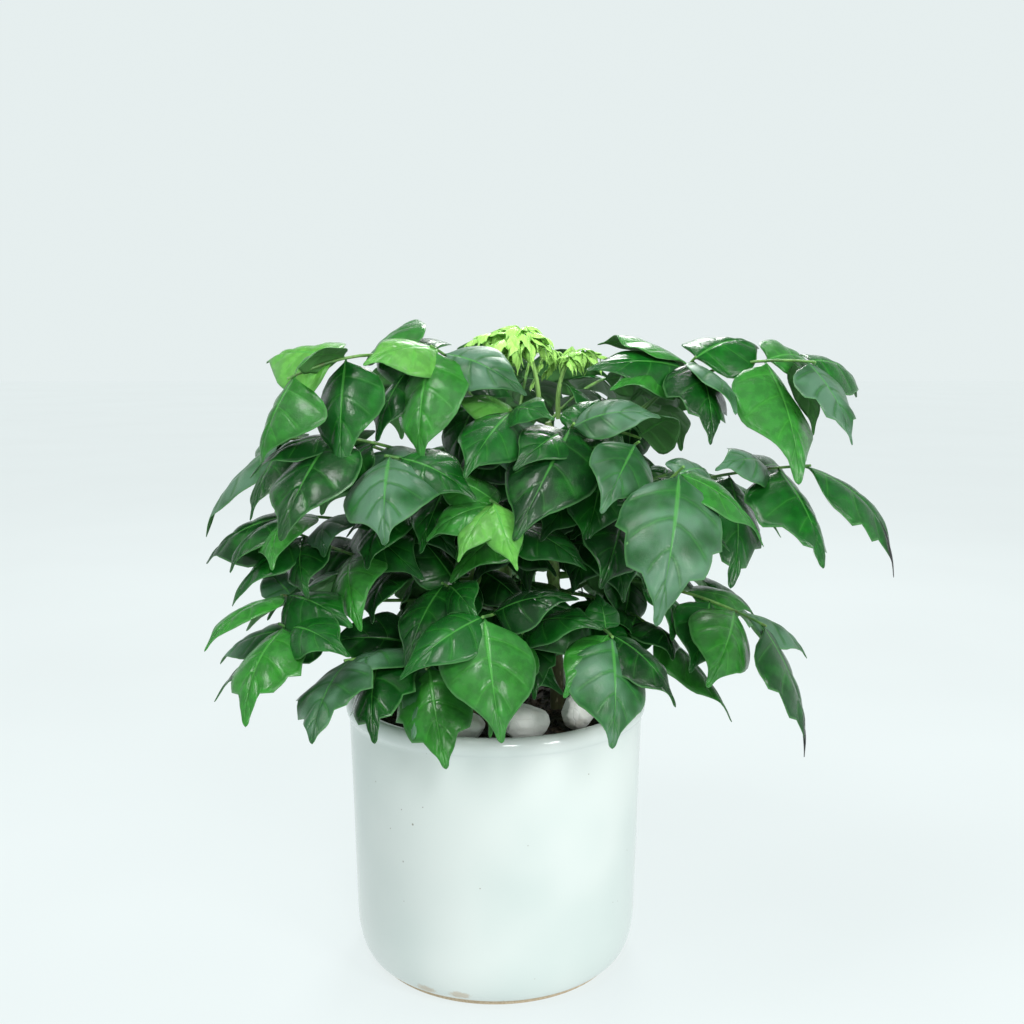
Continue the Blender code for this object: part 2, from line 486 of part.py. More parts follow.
def main():
    for obj in list(bpy.data.objects):
        bpy.data.objects.remove(obj)
    plant = bpy.data.collections.new("china_doll_plant")
    helpers = bpy.data.collections.new("helpers")
    for collection in (plant, helpers):
        bpy.context.scene.collection.children.link(collection)

    glaze = finish("white_glaze", (0.78, 0.82, 0.80), 0.12)
    earth = finish("potting_soil", (0.05, 0.035, 0.025), 0.95)
    stone = finish("white_pebble", (0.80, 0.80, 0.76), 0.45)
    bark = finish("green_stem", (0.16, 0.20, 0.07), 0.65)
    green = finish("mature_leaf", (0.02, 0.13, 0.035), 0.35)
    lime = finish("young_leaf", (0.30, 0.66, 0.10), 0.45)

    turned("pot", pot_profile(), plant, glaze)
    build_soil(plant, helpers, earth)
    for number, pebble in enumerate(PEBBLES, 1):
        build_pebble(f"pebble_{number}", pebble, plant, stone)
    for stem in STEMS:
        build_stem(stem, plant, bark)
    for name, (stem, height, arch, end, blades) in LEAVES.items():
        route = leaf_route(stem, height, arch, end)
        build_compound_leaf(name, route, STALK_RADIUS, blades, plant, helpers, green)
    for name, (foot, arch, top, count, length, first_heading) in SHOOTS.items():
        route = [millimetres(*point) for point in (foot, arch, top)]
        blades = shoot_blades(count, length, first_heading)
        build_compound_leaf(name, route, SHOOT_STALK_RADIUS, blades, plant, helpers, lime)


main()
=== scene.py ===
"""China doll plant in a white glazed vase: the looks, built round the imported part.

The frame is the part's own: the origin is the centre of the pot's flat base, +Z is up and -Y is the
front. Layout tables are in millimetres and degrees, as the part's are; everything built is in metres.
"""

import logging
import math
from dataclasses import dataclass
from enum import Enum

import bmesh
import bpy
import numpy as np
from mathutils import Matrix, Vector, noise


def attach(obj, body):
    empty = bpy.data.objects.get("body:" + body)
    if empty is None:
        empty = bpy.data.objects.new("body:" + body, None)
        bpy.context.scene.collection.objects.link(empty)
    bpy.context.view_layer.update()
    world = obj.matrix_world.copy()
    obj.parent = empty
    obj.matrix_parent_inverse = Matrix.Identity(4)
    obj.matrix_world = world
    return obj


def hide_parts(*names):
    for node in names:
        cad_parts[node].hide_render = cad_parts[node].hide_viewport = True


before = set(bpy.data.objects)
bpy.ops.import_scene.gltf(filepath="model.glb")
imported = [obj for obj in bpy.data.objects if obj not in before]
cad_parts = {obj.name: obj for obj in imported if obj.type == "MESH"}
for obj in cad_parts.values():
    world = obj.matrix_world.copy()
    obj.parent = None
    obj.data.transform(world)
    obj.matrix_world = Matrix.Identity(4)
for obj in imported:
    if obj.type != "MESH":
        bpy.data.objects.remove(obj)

LOG = logging.getLogger("china_doll_plant")
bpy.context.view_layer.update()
MM = 0.001

Row = tuple[float, ...]


# ---------------------------------------------------------------- node trees written as expressions


class Term:
    """A node socket that takes part in Python arithmetic; each operation adds one node."""

    def __init__(self, graph: "Graph", socket: bpy.types.NodeSocket) -> None:
        """Wraps a socket.

        Args:
            graph: the tree that new nodes go into.
            socket: the output socket that holds this value.
        """
        self.graph = graph
        self.socket = socket

    def __add__(self, other: "Term | float") -> "Term":
        """The sum."""
        return self.graph.join("ADD", self, other)

    __radd__ = __add__

    def __sub__(self, other: "Term | float") -> "Term":
        """The difference."""
        return self.graph.join("SUBTRACT", self, other)

    def __rsub__(self, other: float) -> "Term":
        """The difference from a number."""
        return self.graph.join("SUBTRACT", other, self)

    def __mul__(self, other: "Term | float") -> "Term":
        """The product, which scales a vector by a value."""
        return self.graph.join("MULTIPLY", self, other)

    __rmul__ = __mul__

    def __pow__(self, other: float) -> "Term":
        """The power."""
        return self.graph.join("POWER", self, other)

    def act(self, operation: str, *others: "Term | float") -> "Term":
        """The result of one Math operation, such as SINE, ABSOLUTE, FRACT or MINIMUM.

        Args:
            operation: the Math node's operation.
            others: its further operands.

        Returns:
            The node's value.
        """
        return self.graph.math(operation, self, *others)

    def step(self, low: float, high: float, start: float = 0.0, end: float = 1.0) -> "Term":
        """Goes smoothly from start to end as this value goes from low to high.

        Args:
            low: where the change begins.
            high: where it ends.
            start: the value up to low.
            end: the value from high on.

        Returns:
            The smooth step.
        """
        sockets = {0: self, 1: low, 2: high, 3: start, 4: end}
        return self.graph.out("ShaderNodeMapRange", {"interpolation_type": "SMOOTHSTEP"}, sockets)

    def parts(self) -> tuple["Term", "Term", "Term"]:
        """The X, Y and Z of a vector."""
        node = self.graph.node("ShaderNodeSeparateXYZ", {}, {0: self})
        return tuple(Term(self.graph, socket) for socket in node.outputs)


class Graph:
    """A node tree of geometry or of a material, with one method that adds any node."""

    def __init__(self, tree: bpy.types.NodeTree) -> None:
        """Wraps a node tree, whose nodes are cleared.

        Args:
            tree: the tree to write.
        """
        self.tree = tree
        tree.nodes.clear()

    def node(self, kind: str, settings: dict, sockets: dict) -> bpy.types.Node:
        """Adds a node.

        Args:
            kind: the node's type.
            settings: its properties, where "points" are a curve's.
            sockets: the values or links of its inputs, by name or number.

        Returns:
            The new node.
        """
        made = self.tree.nodes.new(kind)
        for name, value in settings.items():
            if name == "points":
                self._set_points(made.mapping, value)
            else:
                setattr(made, name, value)
        for key, value in sockets.items():
            if isinstance(value, Term):
                self.tree.links.new(value.socket, made.inputs[key])
            else:
                made.inputs[key].default_value = value
        return made

    def out(self, kind: str, settings: dict, sockets: dict, output: int | str = 0) -> Term:
        """Adds a node and gives one of its outputs.

        Args:
            kind: the node's type.
            settings: its properties.
            sockets: the values or links of its inputs.
            output: the output's name or number.

        Returns:
            That output.
        """
        return Term(self, self.node(kind, settings, sockets).outputs[output])

    def math(self, operation: str, *operands: Term | float) -> Term:
        """One Math node on values."""
        return self.out("ShaderNodeMath", {"operation": operation}, dict(enumerate(operands)))

    def join(self, operation: str, first: Term | float, second: Term | float) -> Term:
        """Two operands through a Math node, or a Vector Math node where either is a vector.

        Args:
            operation: ADD, SUBTRACT, MULTIPLY or POWER.
            first: the left operand.
            second: the right operand.

        Returns:
            The result.
        """
        vectors = [isinstance(each, Term) and each.socket.type == "VECTOR" for each in (first, second)]
        if not any(vectors):
            return self.math(operation, first, second)
        if operation == "MULTIPLY" and not all(vectors):
            vector, factor = (first, second) if vectors[0] else (second, first)
            return self.vector("SCALE", {0: vector, "Scale": factor})
        return self.vector(operation, {0: first, 1: second})

    def vector(self, operation: str, sockets: dict) -> Term:
        """One Vector Math node."""
        return self.out("ShaderNodeVectorMath", {"operation": operation}, sockets)

    def length(self, vector: Term) -> Term:
        """The length of a vector."""
        return self.out("ShaderNodeVectorMath", {"operation": "LENGTH"}, {0: vector}, "Value")

    def mix(self, factor: Term | float, first: Term | Row, second: Term | Row) -> Term:
        """A colour between two colours.

        Args:
            factor: 0 gives the first, 1 the second.
            first: a colour.
            second: a colour.

        Returns:
            The mixed colour.
        """
        colours = {6: first, 7: second}
        ends = {key: each if isinstance(each, Term) else (*each, 1.0) for key, each in colours.items()}
        return self.out("ShaderNodeMix", {"data_type": "RGBA"}, {0: factor, **ends}, 2)

    def noise(self, scale: float, detail: float = 2.0, where: Term | None = None) -> Term:
        """Smooth noise, in the object's own coordinates unless others are given.

        Args:
            scale: how many waves there are in a metre.
            detail: how many finer layers it has.
            where: the coordinates.

        Returns:
            The noise, from 0 to 1.
        """
        sockets = {"Vector": where or self.place(), "Scale": scale, "Detail": detail}
        return self.out("ShaderNodeTexNoise", {}, sockets)

    def cells(self, scale: float, feature: str = "F1", where: Term | None = None) -> Term:
        """The distance pattern of scattered cells."""
        sockets = {"Vector": where or self.place(), "Scale": scale}
        return self.out("ShaderNodeTexVoronoi", {"feature": feature}, sockets)

    def place(self) -> Term:
        """The object's own coordinates, in a material."""
        return self.out("ShaderNodeTexCoord", {}, {}, "Object")

    @staticmethod
    def _set_points(mapping: bpy.types.CurveMapping, points: list[Row]) -> None:
        """Sets a float curve's points."""
        curve = mapping.curves[0]
        while len(curve.points) < len(points):
            curve.points.new(0.5, 0.5)
        for control, point in zip(curve.points, points):
            control.location = point
        mapping.update()


class GeometryTree(Graph):
    """A tree of Geometry Nodes with named inputs, which makes a plain mesh of what it is given."""

    def __init__(self, name: str, inputs: dict[str, tuple[str, object]]) -> None:
        """Makes the tree with its geometry socket and its named inputs.

        Args:
            name: the tree's name.
            inputs: the type and value of each input, by name.
        """
        super().__init__(bpy.data.node_groups.new(name, "GeometryNodeTree"))
        self.values = {name: value for name, (_, value) in inputs.items()}
        interface = self.tree.interface
        interface.new_socket("Geometry", in_out="OUTPUT", socket_type="NodeSocketGeometry")
        interface.new_socket("Geometry", in_out="INPUT", socket_type="NodeSocketGeometry")
        for label, (kind, _) in inputs.items():
            interface.new_socket(label, in_out="INPUT", socket_type="NodeSocket" + kind)
        self.entry = self.node("NodeGroupInput", {}, {})

    def given(self, name: str) -> Term:
        """One of the tree's inputs."""
        return Term(self, self.entry.outputs[name])

    def named(self, name: str, kind: str = "FLOAT") -> Term:
        """A named attribute of the geometry."""
        return self.out("GeometryNodeInputNamedAttribute", {"data_type": kind}, {"Name": name})

    def place(self) -> Term:
        """The position of each point."""
        return self.out("GeometryNodeInputPosition", {}, {})

    def random(self, low: Row, high: Row, seed: int) -> Term:
        """A random vector for each point, between two vectors."""
        sockets = {0: low, 1: high, "Seed": seed}
        return self.out("FunctionNodeRandomValue", {"data_type": "FLOAT_VECTOR"}, sockets)

    def tube(self, line: Term, sides: Term) -> Term:
        """A closed round tube along lines, as thick as their stalk_radius says.

        Args:
            line: a mesh of edges.
            sides: how many sides the tube has.

        Returns:
            The tube.
        """
        ring = self.out("GeometryNodeCurvePrimitiveCircle", {}, {"Resolution": sides, "Radius": 1.0})
        curve = self.out("GeometryNodeMeshToCurve", {}, {"Mesh": line})
        return self.out("GeometryNodeCurveToMesh", {}, {
            "Curve": curve, "Profile Curve": ring, "Scale": self.named("stalk_radius"), "Fill Caps": True})

    def dressed(self, geometry: Term, finish: Term) -> Term:
        """The geometry with smooth faces and a material."""
        smooth = self.out("GeometryNodeSetShadeSmooth", {}, {"Geometry": geometry, "Shade Smooth": True})
        return self.out("GeometryNodeSetMaterial", {}, {"Geometry": smooth, "Material": finish})

    def finish(self, geometry: Term) -> None:
        """Sends the geometry out of the tree."""
        self.node("NodeGroupOutput", {}, {"Geometry": geometry})

    def apply(self, name: str, mesh: bpy.types.Mesh) -> bpy.types.Object:
        """Runs the tree on a mesh and keeps the result as an object with a plain mesh.

        Args:
            name: the object's name.
            mesh: what the tree is given, which is then removed.

        Returns:
            The object, at the origin, with no modifier.
        """
        obj = bpy.data.objects.new(name, mesh)
        bpy.context.scene.collection.objects.link(obj)
        modifier = obj.modifiers.new("shape", "NODES")
        modifier.node_group = self.tree
        for item in self.tree.interface.items_tree:
            if item.name in self.values and item.in_out == "INPUT":
                modifier[item.identifier] = self.values[item.name]
        graph = bpy.context.evaluated_depsgraph_get()
        made = bpy.data.meshes.new_from_object(obj.evaluated_get(graph), depsgraph=graph)
        obj.modifiers.clear()
        obj.data = made
        made.name = name
        bpy.data.meshes.remove(mesh)
        return obj


# ---------------------------------------------------------------- finishes


@dataclass(frozen=True)
class Finish:
    """A procedural material. Each finish says how its colour, roughness and relief are worked out."""

    name: str
    relief: float = 0.5
    relief_depth: float = 0.0004

    def make(self) -> bpy.types.Material:
        """Builds the material.

        Returns:
            The material, with its shader driven by this finish's nodes.
        """
        made = bpy.data.materials.new(self.name)
        made.use_nodes = True
        graph = Graph(made.node_tree)
        colour, roughness, height = self.surface(graph)
        bump = {"Strength": self.relief, "Distance": self.relief_depth, "Height": height}
        normal = graph.out("ShaderNodeBump", {}, bump, "Normal")
        varying = {"Base Color": colour, "Roughness": roughness, "Normal": normal}
        shader = graph.out("ShaderNodeBsdfPrincipled", {}, {**varying, **self.constants()}, "BSDF")
        graph.node("ShaderNodeOutputMaterial", {}, {"Surface": shader})
        return made

    def surface(self, graph: Graph) -> tuple[Term, Term, Term]:
        """The colour, the roughness and the height of the relief."""
        raise NotImplementedError

    def constants(self) -> dict[str, float]:
        """What is the same all over, by the shader's own socket."""
        return {"Metallic": 0.0}


@dataclass(frozen=True)
class LeafFinish(Finish):
    """A leaflet: veins, a pale edge and a matt underside, with each leaflet's own depth of green and a
    painted sheen, pale grey-green patches that stand in for the reflection of the bright surround.
    """

    name: str = "leaf_green"
    relief: float = 0.6
    relief_depth: float = 0.0009
    dark: Row = (0.0004, 0.020, 0.002)
    middle: Row = (0.002, 0.098, 0.005)
    bright: Row = (0.018, 0.245, 0.015)
    young: Row = (0.42, 0.80, 0.17)
    # The pale grey-green of the painted sheen: a painted reflection of the bright surround on the glossy
    # blade.
    bloom: Row = (0.13, 0.25, 0.17)
    vein: Row = (0.07, 0.32, 0.05)
    edge: Row = (0.09, 0.27, 0.08)
    underside: Row = (0.065, 0.20, 0.055)
    tip_burn: Row = (0.004, 0.004, 0.003)
    cloud_scale: float = 95.0
    dapple_scale: float = 260.0
    grain_scale: float = 1400.0
    net_scale: float = 1500.0
    sheen_patch_scale: float = 55.0
    vein_fade: Row = (0.80, 0.97)
    line_width: Row = (0.03, 0.15)
    hair_width: Row = (0.0, 0.045)
    midrib_width: Row = (0.015, 0.060)
    net_width: Row = (0.0, 0.12)
    burnt_from: Row = (0.60, 0.76)
    gloss: float = 0.11

    def surface(self, graph: Graph) -> tuple[Term, Term, Term]:
        """The colour, the roughness and the height of the relief."""
        blade = graph.out("ShaderNodeAttribute", {"attribute_name": "blade"}, {}, "Vector")
        across, share, skin = blade.parts()
        tone, bloom, youth, burn = (
            graph.out("ShaderNodeAttribute", {"attribute_name": name}, {}, "Fac")
            for name in ("tone", "bloom", "youth", "burn"))
        edge = across.act("ABSOLUTE")
        under = skin.act("LESS_THAN", 0.0)

        phase = vein_phase(across, share)
        lateral = ((phase + 0.5).act("FRACT") - 0.5).act("ABSOLUTE")
        fade = edge.step(*self.vein_fade, 1.0, 0.0)
        line = lateral.step(*self.line_width, 1.0, 0.0) * fade
        hair = lateral.step(*self.hair_width, 1.0, 0.0) * fade
        midrib = edge.step(*self.midrib_width, 1.0, 0.0)
        net = graph.cells(self.net_scale, "DISTANCE_TO_EDGE").step(*self.net_width, 1.0, 0.0)
        cloud = graph.noise(self.cloud_scale, 3.0)
        dapple = graph.noise(self.dapple_scale)
        fine = graph.noise(self.grain_scale)

        green = graph.mix((tone * 2.0).act("MINIMUM", 1.0), self.dark, self.middle)
        green = graph.mix(((tone - 0.5) * 2.0).act("MAXIMUM", 0.0), green, self.bright)
        green = graph.mix(youth, green, self.young)
        green = graph.mix(cloud.step(0.48, 0.72) * 0.28, green, self.bright)
        green = graph.mix(dapple.step(0.40, 0.62, 0.30, 0.0) * (1.0 - youth), green, self.dark)
        # Painted sheen: pale grey-green patches between the veins that stand in for the reflection of the
        # bright surround; the noise below picks where the patches lie.
        bare = graph.noise(self.sheen_patch_scale).step(0.35, 0.65) * (1.0 - line * 0.7)
        green = graph.mix(bloom * (0.10 + bare * 0.62), green, self.bloom)
        ribs = (line * 0.07 + hair * 0.22 + net * 0.05).act("MINIMUM", 1.0) * (0.5 + tone * 0.7)
        green = graph.mix(ribs.act("MINIMUM", 0.8), green, self.vein)
        green = graph.mix(midrib * (0.45 + tone * 0.35), green, self.vein)
        green = graph.mix(edge.step(0.95, 1.0) * 0.55, green, self.edge)
        below = graph.mix((line * 0.3 + midrib * 0.6).act("MINIMUM", 1.0), self.underside, self.vein)
        below = graph.mix(youth * 0.7, below, self.young)
        green = graph.mix(under, green, below)
        green = graph.mix(burn * share.step(*self.burnt_from), green, self.tip_burn)

        gloss = self.gloss + cloud * 0.14 + bloom * 0.16 + under * 0.26 + youth * 0.10 + net * 0.03
        height = 0.5 - line * 0.24 - midrib * 0.36 - net * 0.05 + fine * 0.07 + cloud * 0.75 + dapple * 0.22
        height = height * (1.0 - under * 2.0)
        return green, gloss, height

    def constants(self) -> dict[str, float]:
        """A leaf's waxy skin."""
        return {"Metallic": 0.0, "Specular IOR Level": 0.27}


@dataclass(frozen=True)
class StalkFinish(Finish):
    """A leaf's stalk or a young shoot's: fine grooves, paler clouds and brown stains."""

    name: str = "leaf_stalk_green"
    relief: float = 0.4
    base: Row = (0.055, 0.17, 0.035)
    light: Row = (0.15, 0.34, 0.07)
    brown: Row = (0.085, 0.070, 0.030)
    young: Row = (0.30, 0.56, 0.14)
    cloud_scale: float = 120.0
    streak_scale: float = 900.0
    stain_scale: float = 300.0

    def surface(self, graph: Graph) -> tuple[Term, Term, Term]:
        """The colour, the roughness and the height of the relief."""
        cloud = graph.noise(self.cloud_scale, 3.0)
        streak = graph.noise(self.streak_scale)
        youth = graph.out("ShaderNodeAttribute", {"attribute_name": "youth"}, {}, "Fac")
        colour = graph.mix(cloud.step(0.35, 0.65), self.base, self.light)
        stain = graph.noise(self.stain_scale, 4.0).step(0.55, 0.70)
        colour = graph.mix(stain * 0.6, colour, self.brown)
        colour = graph.mix(youth * 0.92, colour, self.young)
        return colour, 0.38 + streak * 0.2, streak * 0.6 + cloud * 0.4


@dataclass(frozen=True)
class BarkFinish(Finish):
    """The stems: green above, brown and corky towards the soil, with pale raised specks."""

    name: str = "stem_bark"
    relief: float = 0.7
    relief_depth: float = 0.0006
    green: Row = (0.24, 0.42, 0.11)
    brown: Row = (0.060, 0.042, 0.022)
    speck: Row = (0.30, 0.27, 0.17)
    speck_width: Row = (0.10, 0.22)
    cork_end: Row = (0.150, 0.190)
    cork_waver: float = 0.03
    cloud_scale: float = 140.0
    streak_scale: float = 900.0
    speck_scale: float = 420.0
    stretch: Row = (1.0, 1.0, 0.35)

    def surface(self, graph: Graph) -> tuple[Term, Term, Term]:
        """The colour, the roughness and the height of the relief."""
        place = graph.place()
        height = place.parts()[2]
        cloud = graph.noise(self.cloud_scale, 4.0)
        stretched = graph.vector("MULTIPLY", {0: place, 1: self.stretch})
        streak = graph.noise(self.streak_scale, 3.0, stretched)
        speck = graph.cells(self.speck_scale, where=stretched).step(*self.speck_width, 1.0, 0.0)
        cork = (height + cloud * self.cork_waver).step(*self.cork_end, 1.0, 0.0)
        colour = graph.mix(cork * 0.9, self.green, self.brown)
        colour = graph.mix(streak.step(0.50, 0.68) * 0.55, colour, self.brown)
        colour = graph.mix(speck * 0.7, colour, self.speck)
        return colour, 0.55 + cork * 0.25, streak * 0.7 + speck * 0.5


@dataclass(frozen=True)
class GlazeFinish(Finish):
    """The pot: a cool white glaze with a few specks over a bare tan clay foot."""

    name: str = "white_glaze"
    relief: float = 0.25
    relief_depth: float = 0.0005
    white: Row = (0.66, 0.71, 0.685)
    cool: Row = (0.58, 0.65, 0.625)
    clay: Row = (0.46, 0.35, 0.23)
    earth: Row = (0.58, 0.47, 0.33)
    speck: Row = (0.16, 0.13, 0.09)
    foot_line: float = 0.0034
    foot_blur: float = 0.0003
    foot_waver: float = 0.0016
    cloud_scale: float = 14.0
    ripple_scale: float = 38.0
    grain_scale: float = 900.0
    pin_scale: float = 170.0
    pin_width: Row = (0.035, 0.060)
    pin_patch_scale: float = 60.0
    pit_scale: float = 75.0
    pit_width: Row = (0.030, 0.050)
    pit_patch_scale: float = 33.0
    smear_fray: float = 0.006
    smear_squash: Row = (1.0, 1.0, 2.4)
    smear_edge: Row = (0.0030, 0.0060)
    smears: tuple[Row, ...] = ((-0.016, -0.0610, 0.0065), (-0.031, -0.0550, 0.0058))

    def surface(self, graph: Graph) -> tuple[Term, Term, Term]:
        """The colour, the roughness and the height of the relief."""
        place = graph.place()
        height = place.parts()[2]
        cloud = graph.noise(self.cloud_scale)
        ripple = graph.noise(self.ripple_scale)
        grain = graph.noise(self.grain_scale, 3.0)
        colour = graph.mix(cloud.step(0.35, 0.70), self.white, self.cool)
        pin = graph.cells(self.pin_scale).step(*self.pin_width, 1.0, 0.0)
        pin = pin * graph.noise(self.pin_patch_scale, 1.0).step(0.56, 0.62)
        pit = graph.cells(self.pit_scale).step(*self.pit_width, 1.0, 0.0)
        pit = pit * graph.noise(self.pit_patch_scale, 1.0).step(0.50, 0.60)
        colour = graph.mix((pin + pit).act("MINIMUM", 1.0) * 0.75, colour, self.speck)
        smear = self.smear(graph, place, grain)
        colour = graph.mix(smear * 0.6, colour, self.clay)
        low, high = self.foot_line - self.foot_blur, self.foot_line + self.foot_blur
        bare = (height + (ripple - 0.5) * self.foot_waver).step(low, high, 1.0, 0.0)
        earth = graph.mix(grain.step(0.35, 0.7), self.clay, self.earth)
        colour = graph.mix(bare, colour, earth)
        roughness = 0.07 + cloud * 0.05 + smear * 0.3 + bare * 0.65
        return colour, roughness, ripple * 0.9 + grain * (0.02 + bare * 0.5) - pit * 0.3

    def smear(self, graph: Graph, place: Term, grain: Term) -> Term:
        """How much of the tan smears, low on the front, is at a place.

        Args:
            graph: the material's nodes.
            place: the place.
            grain: a fine noise that frays their edges.

        Returns:
            A value from 0 to 1.
        """
        total = grain * 0.0
        for middle in self.smears:
            off = graph.vector("SUBTRACT", {0: place, 1: middle})
            away = graph.length(graph.vector("MULTIPLY", {0: off, 1: self.smear_squash}))
            total = total + (away + (grain - 0.5) * self.smear_fray).step(*self.smear_edge, 1.0, 0.0)
        return total.act("MINIMUM", 1.0)

    def constants(self) -> dict[str, float]:
        """The clear, hard surface of the glaze."""
        return {"Metallic": 0.0, "IOR": 1.5}


@dataclass(frozen=True)
class SoilFinish(Finish):
    """Dark potting soil with brown fibres."""

    name: str = "potting_soil"
    relief: float = 0.9
    relief_depth: float = 0.001
    dark: Row = (0.012, 0.009, 0.006)
    brown: Row = (0.060, 0.038, 0.022)
    straw: Row = (0.16, 0.11, 0.06)
    clod_scale: float = 180.0
    crumb_scale: float = 700.0
    fibre_scale: float = 900.0

    def surface(self, graph: Graph) -> tuple[Term, Term, Term]:
        """The colour, the roughness and the height of the relief."""
        clod = graph.noise(self.clod_scale, 6.0)
        crumb = graph.cells(self.crumb_scale)
        colour = graph.mix(clod.step(0.40, 0.70), self.dark, self.brown)
        colour = graph.mix(graph.noise(self.fibre_scale).step(0.66, 0.74) * 0.8, colour, self.straw)
        return colour, 0.85 + crumb * 0.1, clod + crumb * 0.6


@dataclass(frozen=True)
class PebbleFinish(Finish):
    """White quartz pebbles: milky, with grey clouds, cream stains and fine pits."""

    name: str = "white_pebble"
    relief: float = 0.45
    relief_depth: float = 0.0007
    white: Row = (0.95, 0.95, 0.91)
    grey: Row = (0.72, 0.73, 0.70)
    cream: Row = (0.62, 0.52, 0.36)
    cloud_scale: float = 90.0
    stain_scale: float = 45.0
    pit_scale: float = 900.0
    crack_scale: float = 110.0
    crack_width: Row = (0.0, 0.03)

    def surface(self, graph: Graph) -> tuple[Term, Term, Term]:
        """The colour, the roughness and the height of the relief."""
        cloud = graph.noise(self.cloud_scale, 5.0)
        stain = graph.noise(self.stain_scale, 3.0)
        pits = graph.cells(self.pit_scale)
        crack = graph.cells(self.crack_scale, "DISTANCE_TO_EDGE").step(*self.crack_width, 1.0, 0.0)
        colour = graph.mix(cloud.step(0.45, 0.72), self.white, self.grey)
        colour = graph.mix(stain.step(0.52, 0.75) * 0.55, colour, self.cream)
        colour = graph.mix(crack * 0.25, colour, self.grey)
        return colour, 0.32 + cloud * 0.25, cloud * 0.8 + pits * 0.2 - crack * 0.4


@dataclass(frozen=True)
class FloorFinish(Finish):
    """The plain pale floor."""

    name: str = "pale_floor"
    relief: float = 0.02
    cloud_scale: float = 3.0
    pale: Row = (0.06, 0.065, 0.065)
    glow: Row = (0.72, 0.785, 0.785)

    def surface(self, graph: Graph) -> tuple[Term, Term, Term]:
        """The colour, the roughness and the height of the relief."""
        cloud = graph.noise(self.cloud_scale)
        return graph.mix(cloud * 0.1, self.pale, self.glow), 0.8 + cloud * 0.1, cloud

    def constants(self) -> dict[str, object]:
        """A matt surface that glows a little, so that it stays pale far from the lights."""
        return {"Metallic": 0.0, "Specular IOR Level": 0.1, "Emission Color": (*self.glow, 1.0),
                "Emission Strength": 1.0}


# ---------------------------------------------------------------- plain shapes


def millimetres(*values: float) -> Vector:
    """The vector of these millimetres, in metres."""
    return Vector(values) * MM


def along(start: Vector, arch: Vector, end: Vector, share: float) -> Vector:
    """The point at a share of the arch from start to end that leans towards the point arch."""
    rest = 1 - share
    return start * (rest * rest) + arch * (2 * rest * share) + end * (share * share)


def heading_vector(heading: float, dip: float) -> Vector:
    """The unit direction of a compass heading and a dip below level, in degrees."""
    turn, fall = math.radians(heading), math.radians(dip)
    return Vector((math.cos(turn) * math.cos(fall), math.sin(turn) * math.cos(fall), -math.sin(fall)))


def oval_arc(centre: Row, halves: Row, first: float, last: float, steps: int) -> list[Row]:
    """Points on an oval in a turned section.

    Args:
        centre: radius and height of its middle.
        halves: half its width and half its height.
        first: the first angle, in degrees.
        last: the last angle.
        steps: how many steps there are between.

    Returns:
        The points, as (radius, height).
    """
    angles = np.radians(np.linspace(first, last, steps + 1))
    return [(centre[0] + halves[0] * math.cos(a), centre[1] + halves[1] * math.sin(a)) for a in angles]


def evenly(profile: list[Row], longest: float) -> list[Row]:
    """A section with points added on its long runs, so that no run is longer than longest."""
    points = [profile[0]]
    for (r0, z0), (r1, z1) in zip(profile, profile[1:]):
        count = max(1, math.ceil(math.hypot(r1 - r0, z1 - z0) / longest))
        shares = [step / count for step in range(1, count + 1)]
        points += [(r0 + (r1 - r0) * share, z0 + (z1 - z0) * share) for share in shares]
    return points


def mesh_object(name: str, points: list, faces: list, finish: bpy.types.Material) -> bpy.types.Object:
    """An object with a smooth mesh at its own place.

    Args:
        name: the piece's name.
        points: its corners, in metres.
        faces: its faces, as numbers of corners.
        finish: its material.

    Returns:
        The object, at the origin.
    """
    mesh = bpy.data.meshes.new(name)
    mesh.from_pydata([tuple(point) for point in points], [], faces)
    mesh.validate()
    mesh.shade_smooth()
    mesh.materials.append(finish)
    obj = bpy.data.objects.new(name, mesh)
    bpy.context.scene.collection.objects.link(obj)
    return obj


def turned(profile: list[Row], steps: int) -> tuple[list[Vector], list[tuple[int, ...]]]:
    """A closed solid turned about Z from a section that starts and ends on the axis.

    Args:
        profile: (radius, height) points in millimetres, in the order that keeps the outside on the left
            when looking from the axis: up the inside, over the lip and down the outside.
        steps: how many stretches there are round the axis.

    Returns:
        The points, in metres, and the faces.
    """
    rings = profile[1:-1]
    points = [millimetres(0, 0, profile[0][1]), millimetres(0, 0, profile[-1][1])]
    for radius, height in rings:
        for step in range(steps):
            turn = 2 * math.pi * step / steps
            points.append(millimetres(radius * math.cos(turn), radius * math.sin(turn), height))
    faces: list[tuple[int, ...]] = []
    last = 2 + (len(rings) - 1) * steps
    for step in range(steps):
        after = (step + 1) % steps
        faces.append((0, 2 + step, 2 + after))
        faces.append((1, last + after, last + step))
        for ring in range(len(rings) - 1):
            low, high = 2 + ring * steps, 2 + (ring + 1) * steps
            faces.append((low + step, high + step, high + after, low + after))
    return points, faces


def settle(piece: bpy.types.Object, slot: str, *nodes: str) -> bpy.types.Object:
    """Fixes a piece to the part, in the place of the plain solids that it stands for.

    Args:
        piece: the finished piece.
        slot: the name of a material slot; not used.
        nodes: the plain solids.

    Returns:
        The piece.
    """
    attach(piece, "root")
    if nodes:
        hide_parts(*nodes)
    LOG.info("%s: %d faces", piece.name, len(piece.data.polygons))
    return piece


# ---------------------------------------------------------------- pot, soil and pebbles


